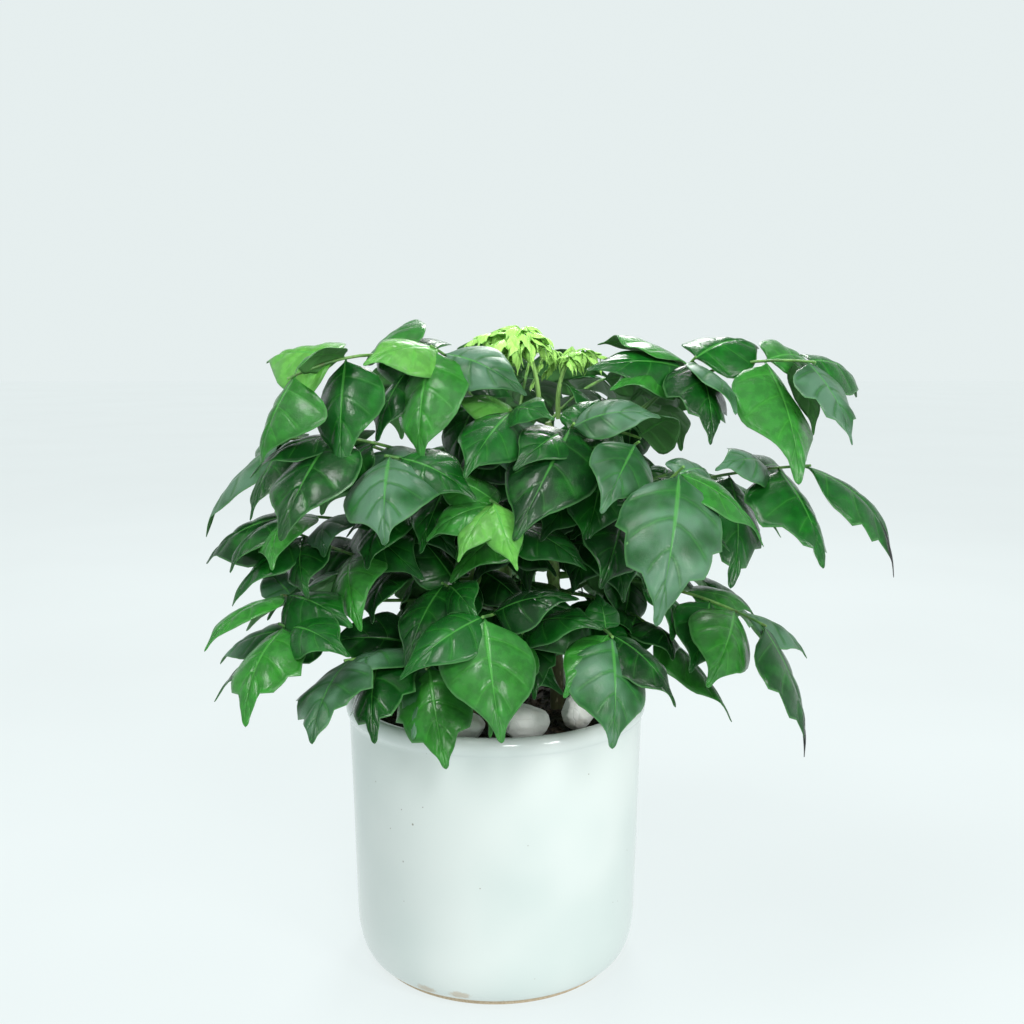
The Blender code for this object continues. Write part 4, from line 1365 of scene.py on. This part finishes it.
# Each leaf: stem, height on it, point that the stalk arches towards, end of the stalk, the leaflets' looks,
# and the leaflets. A look is the first letter of its name, or k for a burnt tip, and a capital gives the
# leaflet coarse teeth.
# Each leaflet: share of the stalk at its root, heading, dip below level, length, width and, where its tip
# hooks down, how far it does, as a share of its length.
LEAVES = {
    "leaf_top_left_outer": ("stem_left", 236, (-23, -27, 304), (-84, -58, 274), "ybmbbdd", (
        (0.82, 150, 4, 42, 32), (0.80, 235, 5, 32, 16), (0.80, 275, 55, 52, 26),
        (0.97, 216, 60, 39, 34), (0.68, 60, -20, 38, 29), (0.5, 240, 45, 42, 22),
        (0.45, 100, 10, 42, 22))),
    "leaf_top_left_inner": ("stem_left", 230, (2, -24, 270), (-27, -42, 287), "bygdmdd", (
        (0.97, 257, 54, 54, 28), (0.93, 215, 4, 36, 23), (0.9, 330, 20, 42, 22), (0.75, 20, 25, 28, 15),
        (0.93, 130, 4, 50, 28), (0.5, 245, 45, 42, 23), (0.45, 350, 35, 34, 22))),
    "leaf_upper_left_far": ("stem_left", 212, (-46, -7, 251), (-94, -26, 246), "gddmmd", (
        (0.97, 175, 45, 58, 26), (0.95, 250, 42, 45, 21), (0.6, 250, -5, 37, 20), (0.7, 110, 20, 44, 24),
        (0.93, 125, 15, 40, 22), (0.4, 235, 20, 40, 22))),
    "leaf_upper_left_middle": ("stem_left", 222, (-28, -41, 244), (-68, -55, 251), "ddmdd", (
        (0.97, 250, 40, 56, 33), (0.75, 205, 38, 46, 23), (0.75, 150, 25, 34, 19),
        (0.45, 240, 30, 42, 23), (0.95, 190, 20, 40, 21))),
    "leaf_upper_left_near": ("stem_left", 216, (-11, -47, 235), (-44, -70, 244), "ggmd", (
        (0.97, 270, 36, 48, 33), (0.8, 135, 5, 37, 22), (0.92, 335, 20, 37, 22), (0.5, 250, 40, 42, 23))),
    "leaf_top_centre_left": ("stem_left", 225, (20, -31, 244), (6, -52, 261), "mygmdd", (
        (0.97, 240, 30, 45, 24), (0.9, 160, -15, 30, 16), (0.95, 285, 65, 32, 21),
        (0.97, 300, 0, 30, 15), (0.8, 165, 33, 36, 22), (0.5, 200, 30, 30, 22))),
    "leaf_top_centre_front": ("stem_right", 230, (22, -35, 236), (32, -60, 256), "dgmdd", (
        (0.97, 240, 45, 59, 32), (0.93, 355, -13, 37, 19), (0.88, 45, -30, 26, 15),
        (0.9, 230, 20, 35, 21), (0.5, 295, 40, 35, 21))),
    "leaf_top_centre_right": ("stem_right", 240, (42, -15, 255), (63, -30, 247), "mmdgd", (
        (0.75, 215, -4, 32, 17), (0.7, 145, -40, 32, 18), (0.6, 100, -15, 30, 20),
        (0.97, 298, -22, 32, 20), (0.5, 290, 25, 38, 21))),
    "leaf_centre_bright": ("stem_left", 200, (19, -46, 210), (-2, -78, 227), "yybbbm", (
        (0.97, 290, 45, 33, 14), (0.95, 228, 40, 30, 15), (0.92, 188, 20, 32, 17),
        (0.88, 150, -18, 36, 19), (0.5, 225, 30, 40, 23), (0.5, 330, 25, 38, 21))),
    "leaf_left_inner": ("stem_left", 188, (-52, -10, 211), (-90, -40, 215), "ddbgmdd", (
        (0.97, 172, 26, 45, 32), (0.95, 235, 20, 42, 26), (0.93, 265, 15, 48, 23),
        (0.75, 272, 12, 40, 21), (0.6, 300, 18, 56, 27), (0.5, 100, 0, 40, 22), (0.4, 255, 15, 34, 22))),
    "leaf_left_tall": ("stem_left", 180, (-43, -35, 188), (-83, -45, 208), "dmbddd", (
        (0.97, 275, 32, 36, 20), (0.97, 208, 35, 42, 24), (0.72, 280, 22, 50, 25),
        (0.7, 140, 10, 40, 22), (0.45, 255, 20, 42, 23), (0.4, 120, 5, 40, 21))),
    "leaf_left_light": ("stem_left", 172, (-51, -31, 174), (-89, -60, 185), "bggmdd", (
        (0.97, 224, 20, 42, 21), (0.95, 130, -20, 22, 15), (0.9, 60, -5, 38, 19),
        (0.97, 317, 10, 40, 22), (0.55, 235, 15, 34, 22), (0.5, 100, 0, 38, 20))),
    "leaf_left_low": ("stem_left", 162, (-47, -50, 144), (-88, -72, 176), "gmBDdd", (
        (0.93, 162, 20, 38, 20), (0.95, 312, 0, 45, 20), (0.97, 250, 33, 48, 27),
        (0.78, 215, 20, 38, 20), (0.88, 187, 30, 45, 21), (0.55, 235, 20, 37, 22))),
    "leaf_low_left_front": ("stem_left", 156, (-22, -52, 161), (-61, -78, 162), "GgDd", (
        (0.97, 253, 30, 44, 30), (0.65, 236, 6, 44, 26), (0.8, 273, 24, 50, 25),
        (0.55, 185, -5, 40, 27))),
    "leaf_low_front_left": ("stem_left", 150, (-10, -44, 167), (-28, -80, 159), "BGmd", (
        (0.97, 285, 45, 44, 28), (0.93, 254, 45, 34, 18), (0.75, 150, 22, 36, 19),
        (0.5, 215, 25, 38, 21))),
    "leaf_low_front": ("stem_left", 168, (7, -49, 175), (-5, -95, 184), "bmddd", (
        (0.97, 276, 53, 50, 32), (0.95, 208, 28, 42, 21), (0.8, 342, -16, 36, 20),
        (0.45, 250, 15, 38, 21), (0.5, 10, 5, 38, 21))),
    "leaf_centre_left_inner": ("stem_left", 194, (-3, -40, 174), (-22, -65, 191), "dmdd", (
        (0.97, 243, 37, 42, 21), (0.93, 296, 9, 32, 16), (0.8, 150, -42, 42, 21),
        (0.5, 225, 25, 40, 22))),
    "leaf_low_right_inner": ("stem_right", 156, (23, -29, 168), (11, -62, 169), "mBD", (
        (0.97, 312, -15, 45, 21), (0.97, 232, 50, 46, 21), (0.8, 275, 43, 34, 17))),
    "leaf_low_right_front": ("stem_right", 166, (42, -41, 171), (46, -88, 174), "gbdmd", (
        (0.97, 267, 45, 48, 28), (0.93, 227, 37, 34, 19), (0.95, 330, 35, 38, 22),
        (0.85, 97, -45, 18, 13), (0.55, 215, 15, 36, 20))),
    "leaf_low_right_behind": ("stem_right", 172, (53, -11, 173), (70, -32, 163), "dbmmd", (
        (0.9, 290, 14, 31, 21), (0.97, 337, 47, 54, 23), (0.8, 245, 22, 32, 20), (0.6, 226, -50, 32, 18),
        (0.45, 290, 20, 38, 21))),
    "leaf_low_right_outer": ("stem_right", 180, (79, -16, 184), (115, -52, 169), "mbKgbmd", (
        (0.72, 248, 36, 40, 24), (0.84, 246, 23, 52, 27), (0.97, 322, 62, 59, 34, 0.10),
        (0.87, 21, 30, 42, 21), (0.6, 12, 18, 34, 18), (0.45, 280, 25, 38, 21), (0.4, 105, 15, 38, 20))),
    "leaf_right_near": ("stem_right", 190, (51, -48, 209), (72, -92, 242), "GbgddM", (
        (0.97, 254, 51, 64, 34), (0.95, 7, 34, 46, 21), (0.93, 56, 6, 36, 17), (0.55, 250, 27, 42, 24),
        (0.35, 290, 30, 40, 23), (0.7, 340, 20, 40, 22))),
    "leaf_right_outer": ("stem_right", 202, (80, -16, 231), (133, -46, 237), "MMKgmdd", (
        (0.7, 267, 46, 58, 28), (0.88, 287, 42, 54, 34), (0.97, 350, 36, 60, 26, 0.24),
        (0.84, 227, -8, 42, 19), (0.8, 60, 10, 42, 21), (0.45, 270, 35, 42, 24), (0.45, 50, 15, 40, 22))),
    "leaf_right_inner": ("stem_right", 212, (35, -38, 227), (58, -65, 249), "gmmdd", (
        (0.97, 243, 28, 45, 23), (0.7, 252, 48, 38, 22), (0.93, 150, 10, 38, 20),
        (0.45, 240, 30, 38, 21), (0.6, 330, 20, 38, 21))),
    "leaf_top_right_inner": ("stem_right", 222, (68, 2, 255), (86, -30, 282), "Dgmbmbdd", (
        (0.97, 279, 41, 46, 26), (0.95, 296, 28, 42, 19), (0.9, 200, 2, 46, 25), (0.93, 148, -12, 45, 30),
        (0.97, 40, -12, 44, 28), (0.8, 227, 0, 42, 20), (0.5, 250, -5, 42, 22), (0.45, 160, 15, 38, 21))),
    "leaf_top_right_outer": ("stem_right", 214, (76, 11, 287), (135, -40, 280), "bGmbmddd", (
        (0.84, 276, 46, 64, 33), (0.97, 299, 47, 43, 25), (0.93, 20, 65, 35, 17), (0.84, 50, 4, 46, 22),
        (0.97, 44, 16, 48, 23), (0.5, 290, 15, 44, 23), (0.5, 110, 5, 42, 22), (0.35, 185, 10, 30, 21))),
    "leaf_inner_left": ("stem_left", 206, (-26, -20, 228), (-42, -32, 218), "dmdd", (
        (0.97, 250, 30, 44, 26), (0.93, 185, 25, 29, 24), (0.9, 310, 30, 40, 22),
        (0.6, 150, 15, 38, 20))),
    "leaf_inner_right": ("stem_right", 206, (44, -8, 226), (60, -20, 214), "dmdMd", (
        (0.97, 280, 45, 46, 26), (0.93, 335, 30, 42, 23), (0.9, 230, 10, 42, 24), (0.6, 40, 0, 32, 20),
        (0.5, 315, 30, 38, 21))),
    "leaf_inner_back_left": ("stem_back", 196, (-28, 22, 214), (-48, 14, 202), "mdm", (
        (0.97, 190, 30, 43, 25), (0.93, 245, 25, 41, 24), (0.9, 130, 25, 40, 22))),
    "leaf_inner_back_right": ("stem_back", 192, (40, 32, 214), (60, 24, 200), "mdd", (
        (0.97, 350, 30, 46, 25), (0.93, 300, 30, 44, 24), (0.9, 60, 25, 40, 22))),
    "leaf_inner_low": ("stem_left", 146, (2, -24, 164), (0, -46, 156), "mdm", (
        (0.97, 270, 35, 36, 21), (0.93, 215, 25, 38, 21), (0.9, 325, 25, 36, 20))),
    "leaf_inner_centre": ("stem_back", 205, (10, 10, 228), (12, -8, 216), "dmdd", (
        (0.97, 270, 55, 44, 26), (0.93, 245, 10, 42, 24), (0.93, 315, 35, 42, 24),
        (0.6, 180, 20, 38, 21))),
    "leaf_inner_centre_low": ("stem_back", 170, (12, 10, 186), (12, -8, 178), "mdm", (
        (0.97, 260, 40, 40, 24), (0.93, 215, 35, 30, 23), (0.93, 325, 30, 28, 22))),
    "leaf_back_top_left": ("stem_back", 232, (-16, 50, 288), (-52, 78, 268), "bmgdmdd", (
        (0.97, 150, 35, 50, 27), (0.93, 95, 42, 50, 27), (0.95, 200, 20, 42, 21), (0.65, 75, 15, 42, 22),
        (0.65, 175, 10, 42, 21), (0.4, 240, 10, 38, 20), (0.4, 60, 20, 40, 21))),
    "leaf_back_top": ("stem_back", 238, (18, 52, 292), (20, 88, 274), "mbgmddm", (
        (0.97, 90, 45, 54, 29), (0.93, 35, 28, 44, 23), (0.93, 145, 28, 44, 23), (0.6, 5, 8, 42, 22),
        (0.6, 165, -14, 38, 21), (0.4, 60, 30, 40, 22), (0.4, 210, 0, 36, 19))),
    "leaf_back_top_right": ("stem_back", 228, (48, 48, 284), (78, 66, 266), "bmdmgdd", (
        (0.97, 45, 42, 52, 28), (0.93, 0, 25, 44, 23), (0.93, 95, 35, 46, 24), (0.6, 100, 12, 42, 22),
        (0.6, 340, 5, 38, 20), (0.4, 80, 25, 40, 21), (0.4, 300, 10, 38, 20))),
    "leaf_back_upper_left": ("stem_back", 208, (-36, 42, 240), (-78, 54, 226), "dgmdmdd", (
        (0.97, 172, 35, 48, 26), (0.93, 120, 38, 48, 26), (0.93, 220, 22, 40, 21),
        (0.6, 105, 15, 42, 22), (0.55, 205, 8, 38, 20), (0.4, 90, 25, 40, 22), (0.35, 230, 20, 38, 20))),
    "leaf_back_upper": ("stem_back", 212, (-2, 66, 246), (-12, 92, 226), "Mdbgdm", (
        (0.97, 105, 45, 50, 28), (0.93, 55, 28, 42, 22), (0.93, 155, 28, 42, 22), (0.55, 20, 13, 35, 20),
        (0.5, 170, 10, 38, 21), (0.35, 60, 25, 38, 21))),
    "leaf_back_upper_right": ("stem_back", 216, (48, 56, 242), (62, 80, 224), "dBmdgd", (
        (0.97, 62, 42, 50, 28), (0.93, 10, 26, 44, 23), (0.93, 115, 30, 42, 22), (0.6, 335, 5, 38, 20),
        (0.55, 120, 10, 40, 21), (0.35, 320, 20, 38, 20))),
    "leaf_side_right_upper": ("stem_right", 194, (78, 22, 236), (108, 34, 222), "bmDmgd", (
        (0.97, 20, 40, 50, 27), (0.93, 330, 30, 44, 23), (0.93, 75, 30, 46, 24), (0.6, 85, 10, 42, 22),
        (0.6, 330, 10, 37, 21), (0.4, 60, 25, 38, 20))),
    "leaf_back_low_left": ("stem_back", 176, (-38, 48, 186), (-72, 56, 172), "gdmdmd", (
        (0.97, 165, 30, 46, 25), (0.93, 110, 40, 46, 25), (0.93, 215, 18, 40, 21),
        (0.55, 90, 20, 40, 21), (0.5, 210, 12, 35, 20), (0.35, 80, 25, 36, 20))),
    "leaf_back_low": ("stem_back", 168, (4, 62, 182), (-2, 88, 170), "DmbdmD", (
        (0.97, 95, 48, 48, 28), (0.93, 45, 28, 42, 22), (0.93, 150, 28, 42, 22), (0.55, 160, 10, 36, 19),
        (0.5, 30, 12, 38, 20), (0.35, 180, 25, 36, 19))),
    "leaf_back_low_right": ("stem_back", 182, (48, 56, 192), (70, 72, 174), "mgDmdd", (
        (0.97, 50, 40, 48, 27), (0.93, 0, 26, 42, 22), (0.93, 105, 36, 44, 24), (0.55, 110, 10, 38, 20),
        (0.5, 330, 5, 38, 20), (0.35, 90, 25, 36, 20))),
    "leaf_side_right_low": ("stem_right", 170, (74, 16, 190), (100, 18, 174), "BdmMd", (
        (0.97, 10, 42, 46, 25), (0.93, 60, 28, 42, 22), (0.93, 320, 25, 38, 20), (0.6, 100, 10, 38, 20),
        (0.6, 300, 15, 36, 19))),
    "leaf_side_left_low": ("stem_left", 176, (-52, 14, 190), (-84, 10, 178), "dGmdb", (
        (0.97, 175, 35, 46, 25), (0.93, 130, 25, 42, 22), (0.93, 225, 22, 38, 20),
        (0.6, 100, 10, 40, 21), (0.6, 240, 15, 35, 20))),
}


def varied(spreads: dict[str, Row], chance: np.random.Generator) -> dict[str, float]:
    """A random value for each name, from its middle and how far it strays from that.

    Args:
        spreads: the middle and the furthest change, by name.
        chance: the source of variation.

    Returns:
        The values.
    """
    draws = chance.uniform(-1, 1, size=len(spreads))
    return {name: middle + reach * draw for (name, (middle, reach)), draw in zip(spreads.items(), draws)}


MATURE_SPREADS = {
    "fold": (0.14, 0.12), "cup": (0.30, 0.14), "curl": (0.05, 0.05), "twist": (0.0, 0.50),
    "sway": (0.0, 0.07), "ripple": (0.028, 0.016), "shift": (0.0, 0.5), "tone": (0.0, 0.09)}
YOUNG_SPREADS = {
    "fold": (0.60, 0.45), "curl": (0.15, 0.30), "twist": (0.0, 2.0), "sway": (0.0, 0.24),
    "shift": (0.0, 1.0), "tone": (0.0, 0.2)}


@dataclass(frozen=True)
class CompoundLeaf:
    """A compound leaf: its stalk from a stem joint to its last leaflets, and how the leaflets vary."""

    name: str
    stem: Stem
    height: float
    arch: Row
    end: Row
    looks: str
    blades: tuple[Row, ...]
    stalk_radius: float = 0.9
    stalk_gap: float = 1.3
    stalk_steps: int = 16
    stalk_taper: float = 0.35
    foot_swell: float = 0.9
    foot_fade: float = 30.0
    most_lean: float = 12.0
    lean_step: float = 2.4
    arch_depth: float = 0.07
    fine_teeth: float = 0.12
    turn_out: float = 0.38
    level_turn_out: float = 0.30
    fullness: float = 1.18
    plant_middle: Row = (10.0, 0.0)
    inner_shares: Row = (0.20, 0.33)
    inner_turns: Row = (80.0, -75.0)

    def route(self) -> tuple[Vector, Vector, Vector]:
        """The stalk's start beside its stem, the point that it arches towards and its end."""
        middle, arch, end = self.stem.middle(self.height), millimetres(*self.arch), millimetres(*self.end)
        outward = arch - middle
        outward.z = 0
        start = middle + outward.normalized() * (self.stem.radius(self.height) + self.stalk_gap) * MM
        return start, arch, end

    def stalk(self) -> Strand:
        """The stalk, whose swollen foot sits in the stem's joint."""
        start, arch, end = self.route()
        points, radii = [], []
        for step in range(self.stalk_steps + 1):
            share = step / self.stalk_steps
            swell = self.foot_swell * math.exp(-share * self.foot_fade)
            points.append(along(start, arch, end, share))
            radii.append(self.stalk_radius * (1 - self.stalk_taper * share) + swell)
        foot = self.stem.middle(self.height - 1.0)
        return [foot.lerp(start, 0.3), *points], [radii[0] * 0.8, *radii]

    def inner_blades(self) -> list[Row]:
        """The small shaded leaflets near the stalk's foot."""
        start, _, end = self.route()
        out = math.degrees(math.atan2(end.y - start.y, end.x - start.x))
        return [(share, out + turn, 34 + 20 * order, 31 - 4 * order, 20 - 2 * order)
                for order, (share, turn) in enumerate(zip(self.inner_shares, self.inner_turns))]

    def leaflet(self, order: int, blade: Row, look: str, chance: np.random.Generator) -> Leaflet:
        """One leaflet of the leaf, which turns its face a little away from the plant's middle.

        Args:
            order: which leaflet it is.
            blade: share of the stalk at its root, heading, dip below level, length and width, and
                how far its tip hooks down, as a share of its length, where it does.
            look: the letter of its look.
            chance: the leaf's own source of variation.

        Returns:
            The leaflet.
        """
        share, heading, dip, length, width, *hook = blade
        root = along(*self.route(), share)
        line = heading_vector(heading, dip)
        level = line.cross(Vector((0, 0, 1))).normalized()
        upright = level.cross(line)
        lean = math.radians(self.most_lean * math.sin(self.lean_step * (order + length)))
        side = level * math.cos(lean) + upright * math.sin(lean)
        outward = root - millimetres(*self.plant_middle, root.z / MM)
        outward = (outward - line * outward.dot(line)).normalized()
        level_share = math.cos(math.radians(dip)) ** 4
        turn_out = self.turn_out + self.level_turn_out * level_share
        face = (side.cross(line) + outward * turn_out).normalized()
        values = varied(MATURE_SPREADS, chance)
        values["curl"] += sum(hook)
        leaflet = Leaflet(
            root=root, along=line, face=face, length=length * MM, width=width * MM * self.fullness,
            arch=self.arch_depth * (1 + level_share),
            teeth=1.0 if look.isupper() else self.fine_teeth, **values)
        return leaflet.coloured(LOOKS[look.lower()], values["tone"])

    def drawing(self, seed: int) -> bpy.types.Mesh:
        """The leaf's drawing.

        Args:
            seed: what its variation starts from.

        Returns:
            The drawing.
        """
        chance = np.random.default_rng(seed)
        inner = self.inner_blades()
        # The inner leaflets all take the dark look: painted shade for their place deep in the plant.
        rows = zip([*self.blades, *inner], self.looks + "d" * len(inner))
        leaflets = [self.leaflet(order, blade, look, chance) for order, (blade, look) in enumerate(rows)]
        return drawn([self.stalk()], leaflets)


@dataclass(frozen=True)
class Leaves:
    """All the mature leaves."""

    tree: GeometryTree
    first_seed: int = 100

    def dress(self) -> None:
        """Builds every leaf in the place of its plain solid."""
        for seed, (name, row) in enumerate(LEAVES.items(), self.first_seed):
            stem, height, arch, end, looks, blades = row
            leaf = CompoundLeaf(name, STEMS[stem], height, arch, end, looks, blades)
            settle(self.tree.apply(leaf.name + "_foliage", leaf.drawing(seed)), "mature_leaf", leaf.name)


@dataclass(frozen=True)
class YoungShoot:
    """A young shoot: an upright stalk that ends in a tassel of ribs hung with folded leaflets."""

    name: str
    foot: Row
    arch: Row
    top: Row
    ribs: tuple[Row, ...]
    stalk_radius: float = 1.25
    stalk_taper: float = 0.4
    rib_radius: float = 0.45
    rib_taper: float = 0.5
    rib_bend: Row = (0.45, 1.7)
    rib_drop: float = 0.3
    first_place: float = 0.40
    pairs: int = 4
    pair_turns: Row = (-62, 58)
    dip: Row = (48, 38)
    turn_spread: float = 30.0
    pair_size: float = 0.75
    size_spread: float = 0.30
    width_share: float = 0.36
    steps: int = 12
    seed: int = 11

    def rib(self, start: Vector, heading: float, rise: float, reach: float) -> list[Vector]:
        """One rib's line: it rises from the top of the stalk and bends over.

        Args:
            start: where it leaves the stalk.
            heading: its compass heading.
            rise: how far it rises, in millimetres.
            reach: how far it reaches out, in millimetres.

        Returns:
            The points of the rib.
        """
        out = heading_vector(heading, 0)
        bend_out, bend_up = self.rib_bend
        bend = start + out * (reach * bend_out * MM) + millimetres(0, 0, rise * bend_up)
        end = start + out * (reach * MM) + millimetres(0, 0, -rise * self.rib_drop)
        return [along(start, bend, end, step / self.steps) for step in range(self.steps + 1)]

    def tapered(self, line: list[Vector], radius: float, taper: float) -> Strand:
        """A line with radii that shrink along it by a share."""
        return line, [radius * (1 - taper * step / self.steps) for step in range(len(line))]

    def drawing(self) -> bpy.types.Mesh:
        """The shoot's drawing: the stalk, its ribs and their hanging leaflets."""
        chance = np.random.default_rng(self.seed)
        route = [millimetres(*point) for point in (self.foot, self.arch, self.top)]
        stalk = [along(*route, step / self.steps) for step in range(self.steps + 1)]
        strands = [self.tapered(stalk, self.stalk_radius, self.stalk_taper)]
        leaflets = []
        middle_dip, dip_spread = self.dip
        for leave, heading, rise, reach, length in self.ribs:
            line = self.rib(along(*route, leave), heading, rise, reach)
            strands.append(self.tapered(line, self.rib_radius, self.rib_taper))
            for pair in range(self.pairs + 1):
                place = self.first_place + (1 - self.first_place) * pair / self.pairs
                root = line[round(place * self.steps)]
                last = pair == self.pairs
                for turn in ((0,) if last else self.pair_turns):
                    dip = middle_dip + dip_spread * chance.uniform(-1, 1)
                    size = length * (1.0 if last else self.pair_size)
                    size *= 1 + self.size_spread * chance.uniform(-1, 1)
                    aim = heading + turn + self.turn_spread * chance.uniform(-1, 1)
                    leaflets.append(self.hanging(root, aim, dip, size, chance))
        return drawn(strands, leaflets, youth=1.0)

    def hanging(self, root: Vector, heading: float, dip: float, length: float,
                chance: np.random.Generator) -> Leaflet:
        """One young leaflet, half folded and hanging.

        Args:
            root: where it hangs from.
            heading: its compass heading.
            dip: how far it points below level.
            length: its length, in millimetres.
            chance: the shoot's source of variation.

        Returns:
            The leaflet.
        """
        line = heading_vector(heading, dip)
        side = line.cross(Vector((0, 0, 1))).normalized()
        values = varied(YOUNG_SPREADS, chance)
        leaflet = Leaflet(
            root=root, along=line, face=side.cross(line), length=length * MM,
            width=length * self.width_share * MM, arch=0.14, cup=0.2, ripple=0.09, teeth=1.0, **values)
        return leaflet.coloured(Look.YOUNG, values["tone"])


# Each rib: share of the stalk where it leaves, heading, rise, reach, length of its leaflets
YOUNG_SHOOTS = (
    YoungShoot("young_shoot_left", (20, -4, 255), (20, -7, 275), (12, -6, 291), (
        (0.98, 185, 4, 17, 15), (0.97, 235, 3, 14, 19), (0.97, 140, 4, 14, 14), (0.95, 285, 3, 10, 19),
        (0.95, 95, 4, 11, 14), (0.93, 335, 3, 9, 12), (0.93, 35, 4, 10, 13), (0.98, 210, 6, 8, 17),
        (0.96, 260, 4, 6, 19), (0.96, 165, 5, 20, 11), (0.99, 310, 5, 5, 12), (0.88, 205, 1, 15, 18),
        (0.80, 190, 2, 9, 15))),
    YoungShoot("young_shoot_right", (29, 2, 253), (27, 3, 272), (36, 4, 283), (
        (0.97, 5, 3, 11, 11), (0.95, 320, 2, 8, 11), (0.93, 60, 2, 8, 10), (0.70, 190, 11, 13, 10),
        (0.90, 260, 3, 7, 11), (0.78, 150, 7, 9, 10), (0.98, 100, 4, 5, 9))),
)


@dataclass(frozen=True)
class YoungShoots:
    """The lime green tassels at the top of the plant."""

    tree: GeometryTree

    def dress(self) -> None:
        """Builds every shoot in the place of its plain solid."""
        for shoot in YOUNG_SHOOTS:
            settle(self.tree.apply(shoot.name + "_tassel", shoot.drawing()), "young_leaf", shoot.name)


# ---------------------------------------------------------------- studio


# Each light: its name, its place, its side in metres and its power in watts
LIGHTS = (
    ("window", (0.75, -0.85, 0.75), 0.30, 8.0),
    ("front", (0.20, -1.15, 0.85), 0.24, 5.0),
    ("skylight", (-0.40, -0.40, 1.25), 0.38, 10.5),
    ("back", (0.15, 0.95, 0.95), 0.35, 7.5),
)


@dataclass(frozen=True)
class Studio:
    """The pale floor, the soft lights and the camera."""

    camera_place: Row = (0.0, -0.547, 0.295)
    camera_pitch: float = 8.8
    camera_roll: float = 0.8
    lens: float = 42.19
    floor_size: float = 12.0
    floor_drop: float = 0.0002
    backdrop: Row = (0.79, 0.86, 0.86)
    ceiling: Row = (0.16, 0.18, 0.18)
    ceiling_edge: Row = (0.32, 0.72)
    sensor_width: float = 36.0
    nearest: float = 0.01
    lights_aim: Row = (0.0, 0.0, 0.2)

    def set_camera(self) -> None:
        """Places the camera, a little above the plant's middle and looking slightly down."""
        camera = bpy.data.objects.new("camera", bpy.data.cameras.new("camera"))
        camera.data.lens = self.lens
        camera.data.sensor_width = self.sensor_width
        camera.data.clip_start = self.nearest
        roll = Matrix.Rotation(math.radians(-self.camera_roll), 4, "Z")
        pitch = Matrix.Rotation(math.radians(90 - self.camera_pitch), 4, "X")
        camera.matrix_world = Matrix.Translation(self.camera_place) @ roll @ pitch
        bpy.context.scene.collection.objects.link(camera)
        bpy.context.scene.camera = camera

    def set_floor(self) -> None:
        """Lays the plain pale floor, a hair below the pot's base."""
        half = self.floor_size / 2
        corners = [(x, y, -self.floor_drop) for x in (-half, half) for y in (-half, half)]
        floor = mesh_object("floor", corners, [(0, 2, 3, 1)], FloorFinish().make())

    def add_light(self, name: str, place: Row, size: float, power: float) -> None:
        """Adds one soft square light that faces the plant.

        Args:
            name: its name.
            place: where it is.
            size: its side.
            power: its power in watts.
        """
        light = bpy.data.lights.new(name, "AREA")
        light.size = size
        light.energy = power
        lamp = bpy.data.objects.new(name, light)
        lamp.location = place
        aim = Vector(self.lights_aim) - Vector(place)
        lamp.rotation_euler = aim.to_track_quat("-Z", "Y").to_euler()
        bpy.context.scene.collection.objects.link(lamp)

    def set_lights(self) -> None:
        """Sets the pale surround and the lights."""
        world = bpy.data.worlds.new("pale_surround")
        world.use_nodes = True
        surround = Graph(world.node_tree)
        height = surround.out("ShaderNodeTexCoord", {}, {}, "Generated").parts()[2]
        colour = surround.mix(height.step(*self.ceiling_edge), self.backdrop, self.ceiling)
        glow = surround.out("ShaderNodeBackground", {}, {"Color": colour, "Strength": 1.0}, "Background")
        surround.node("ShaderNodeOutputWorld", {}, {"Surface": glow})
        bpy.context.scene.world = world
        for light in LIGHTS:
            self.add_light(*light)
        bpy.context.scene.view_settings.view_transform = "Standard"

    def dress(self) -> None:
        """Sets up the studio."""
        self.set_camera()
        self.set_floor()
        self.set_lights()


def main() -> None:
    """Builds the plant, piece by piece, and its studio."""
    logging.basicConfig(level=logging.INFO, format="%(name)s: %(message)s")
    Studio().dress()
    Pot().dress()
    Soil().dress()
    Pebbles().dress()
    Stems().dress()
    foliage = Foliage().tree()
    Leaves(foliage).dress()
    YoungShoots(foliage).dress()
    bpy.data.objects.remove(bpy.data.objects["leaf_blank"])


if __name__ == "__main__":
    main()
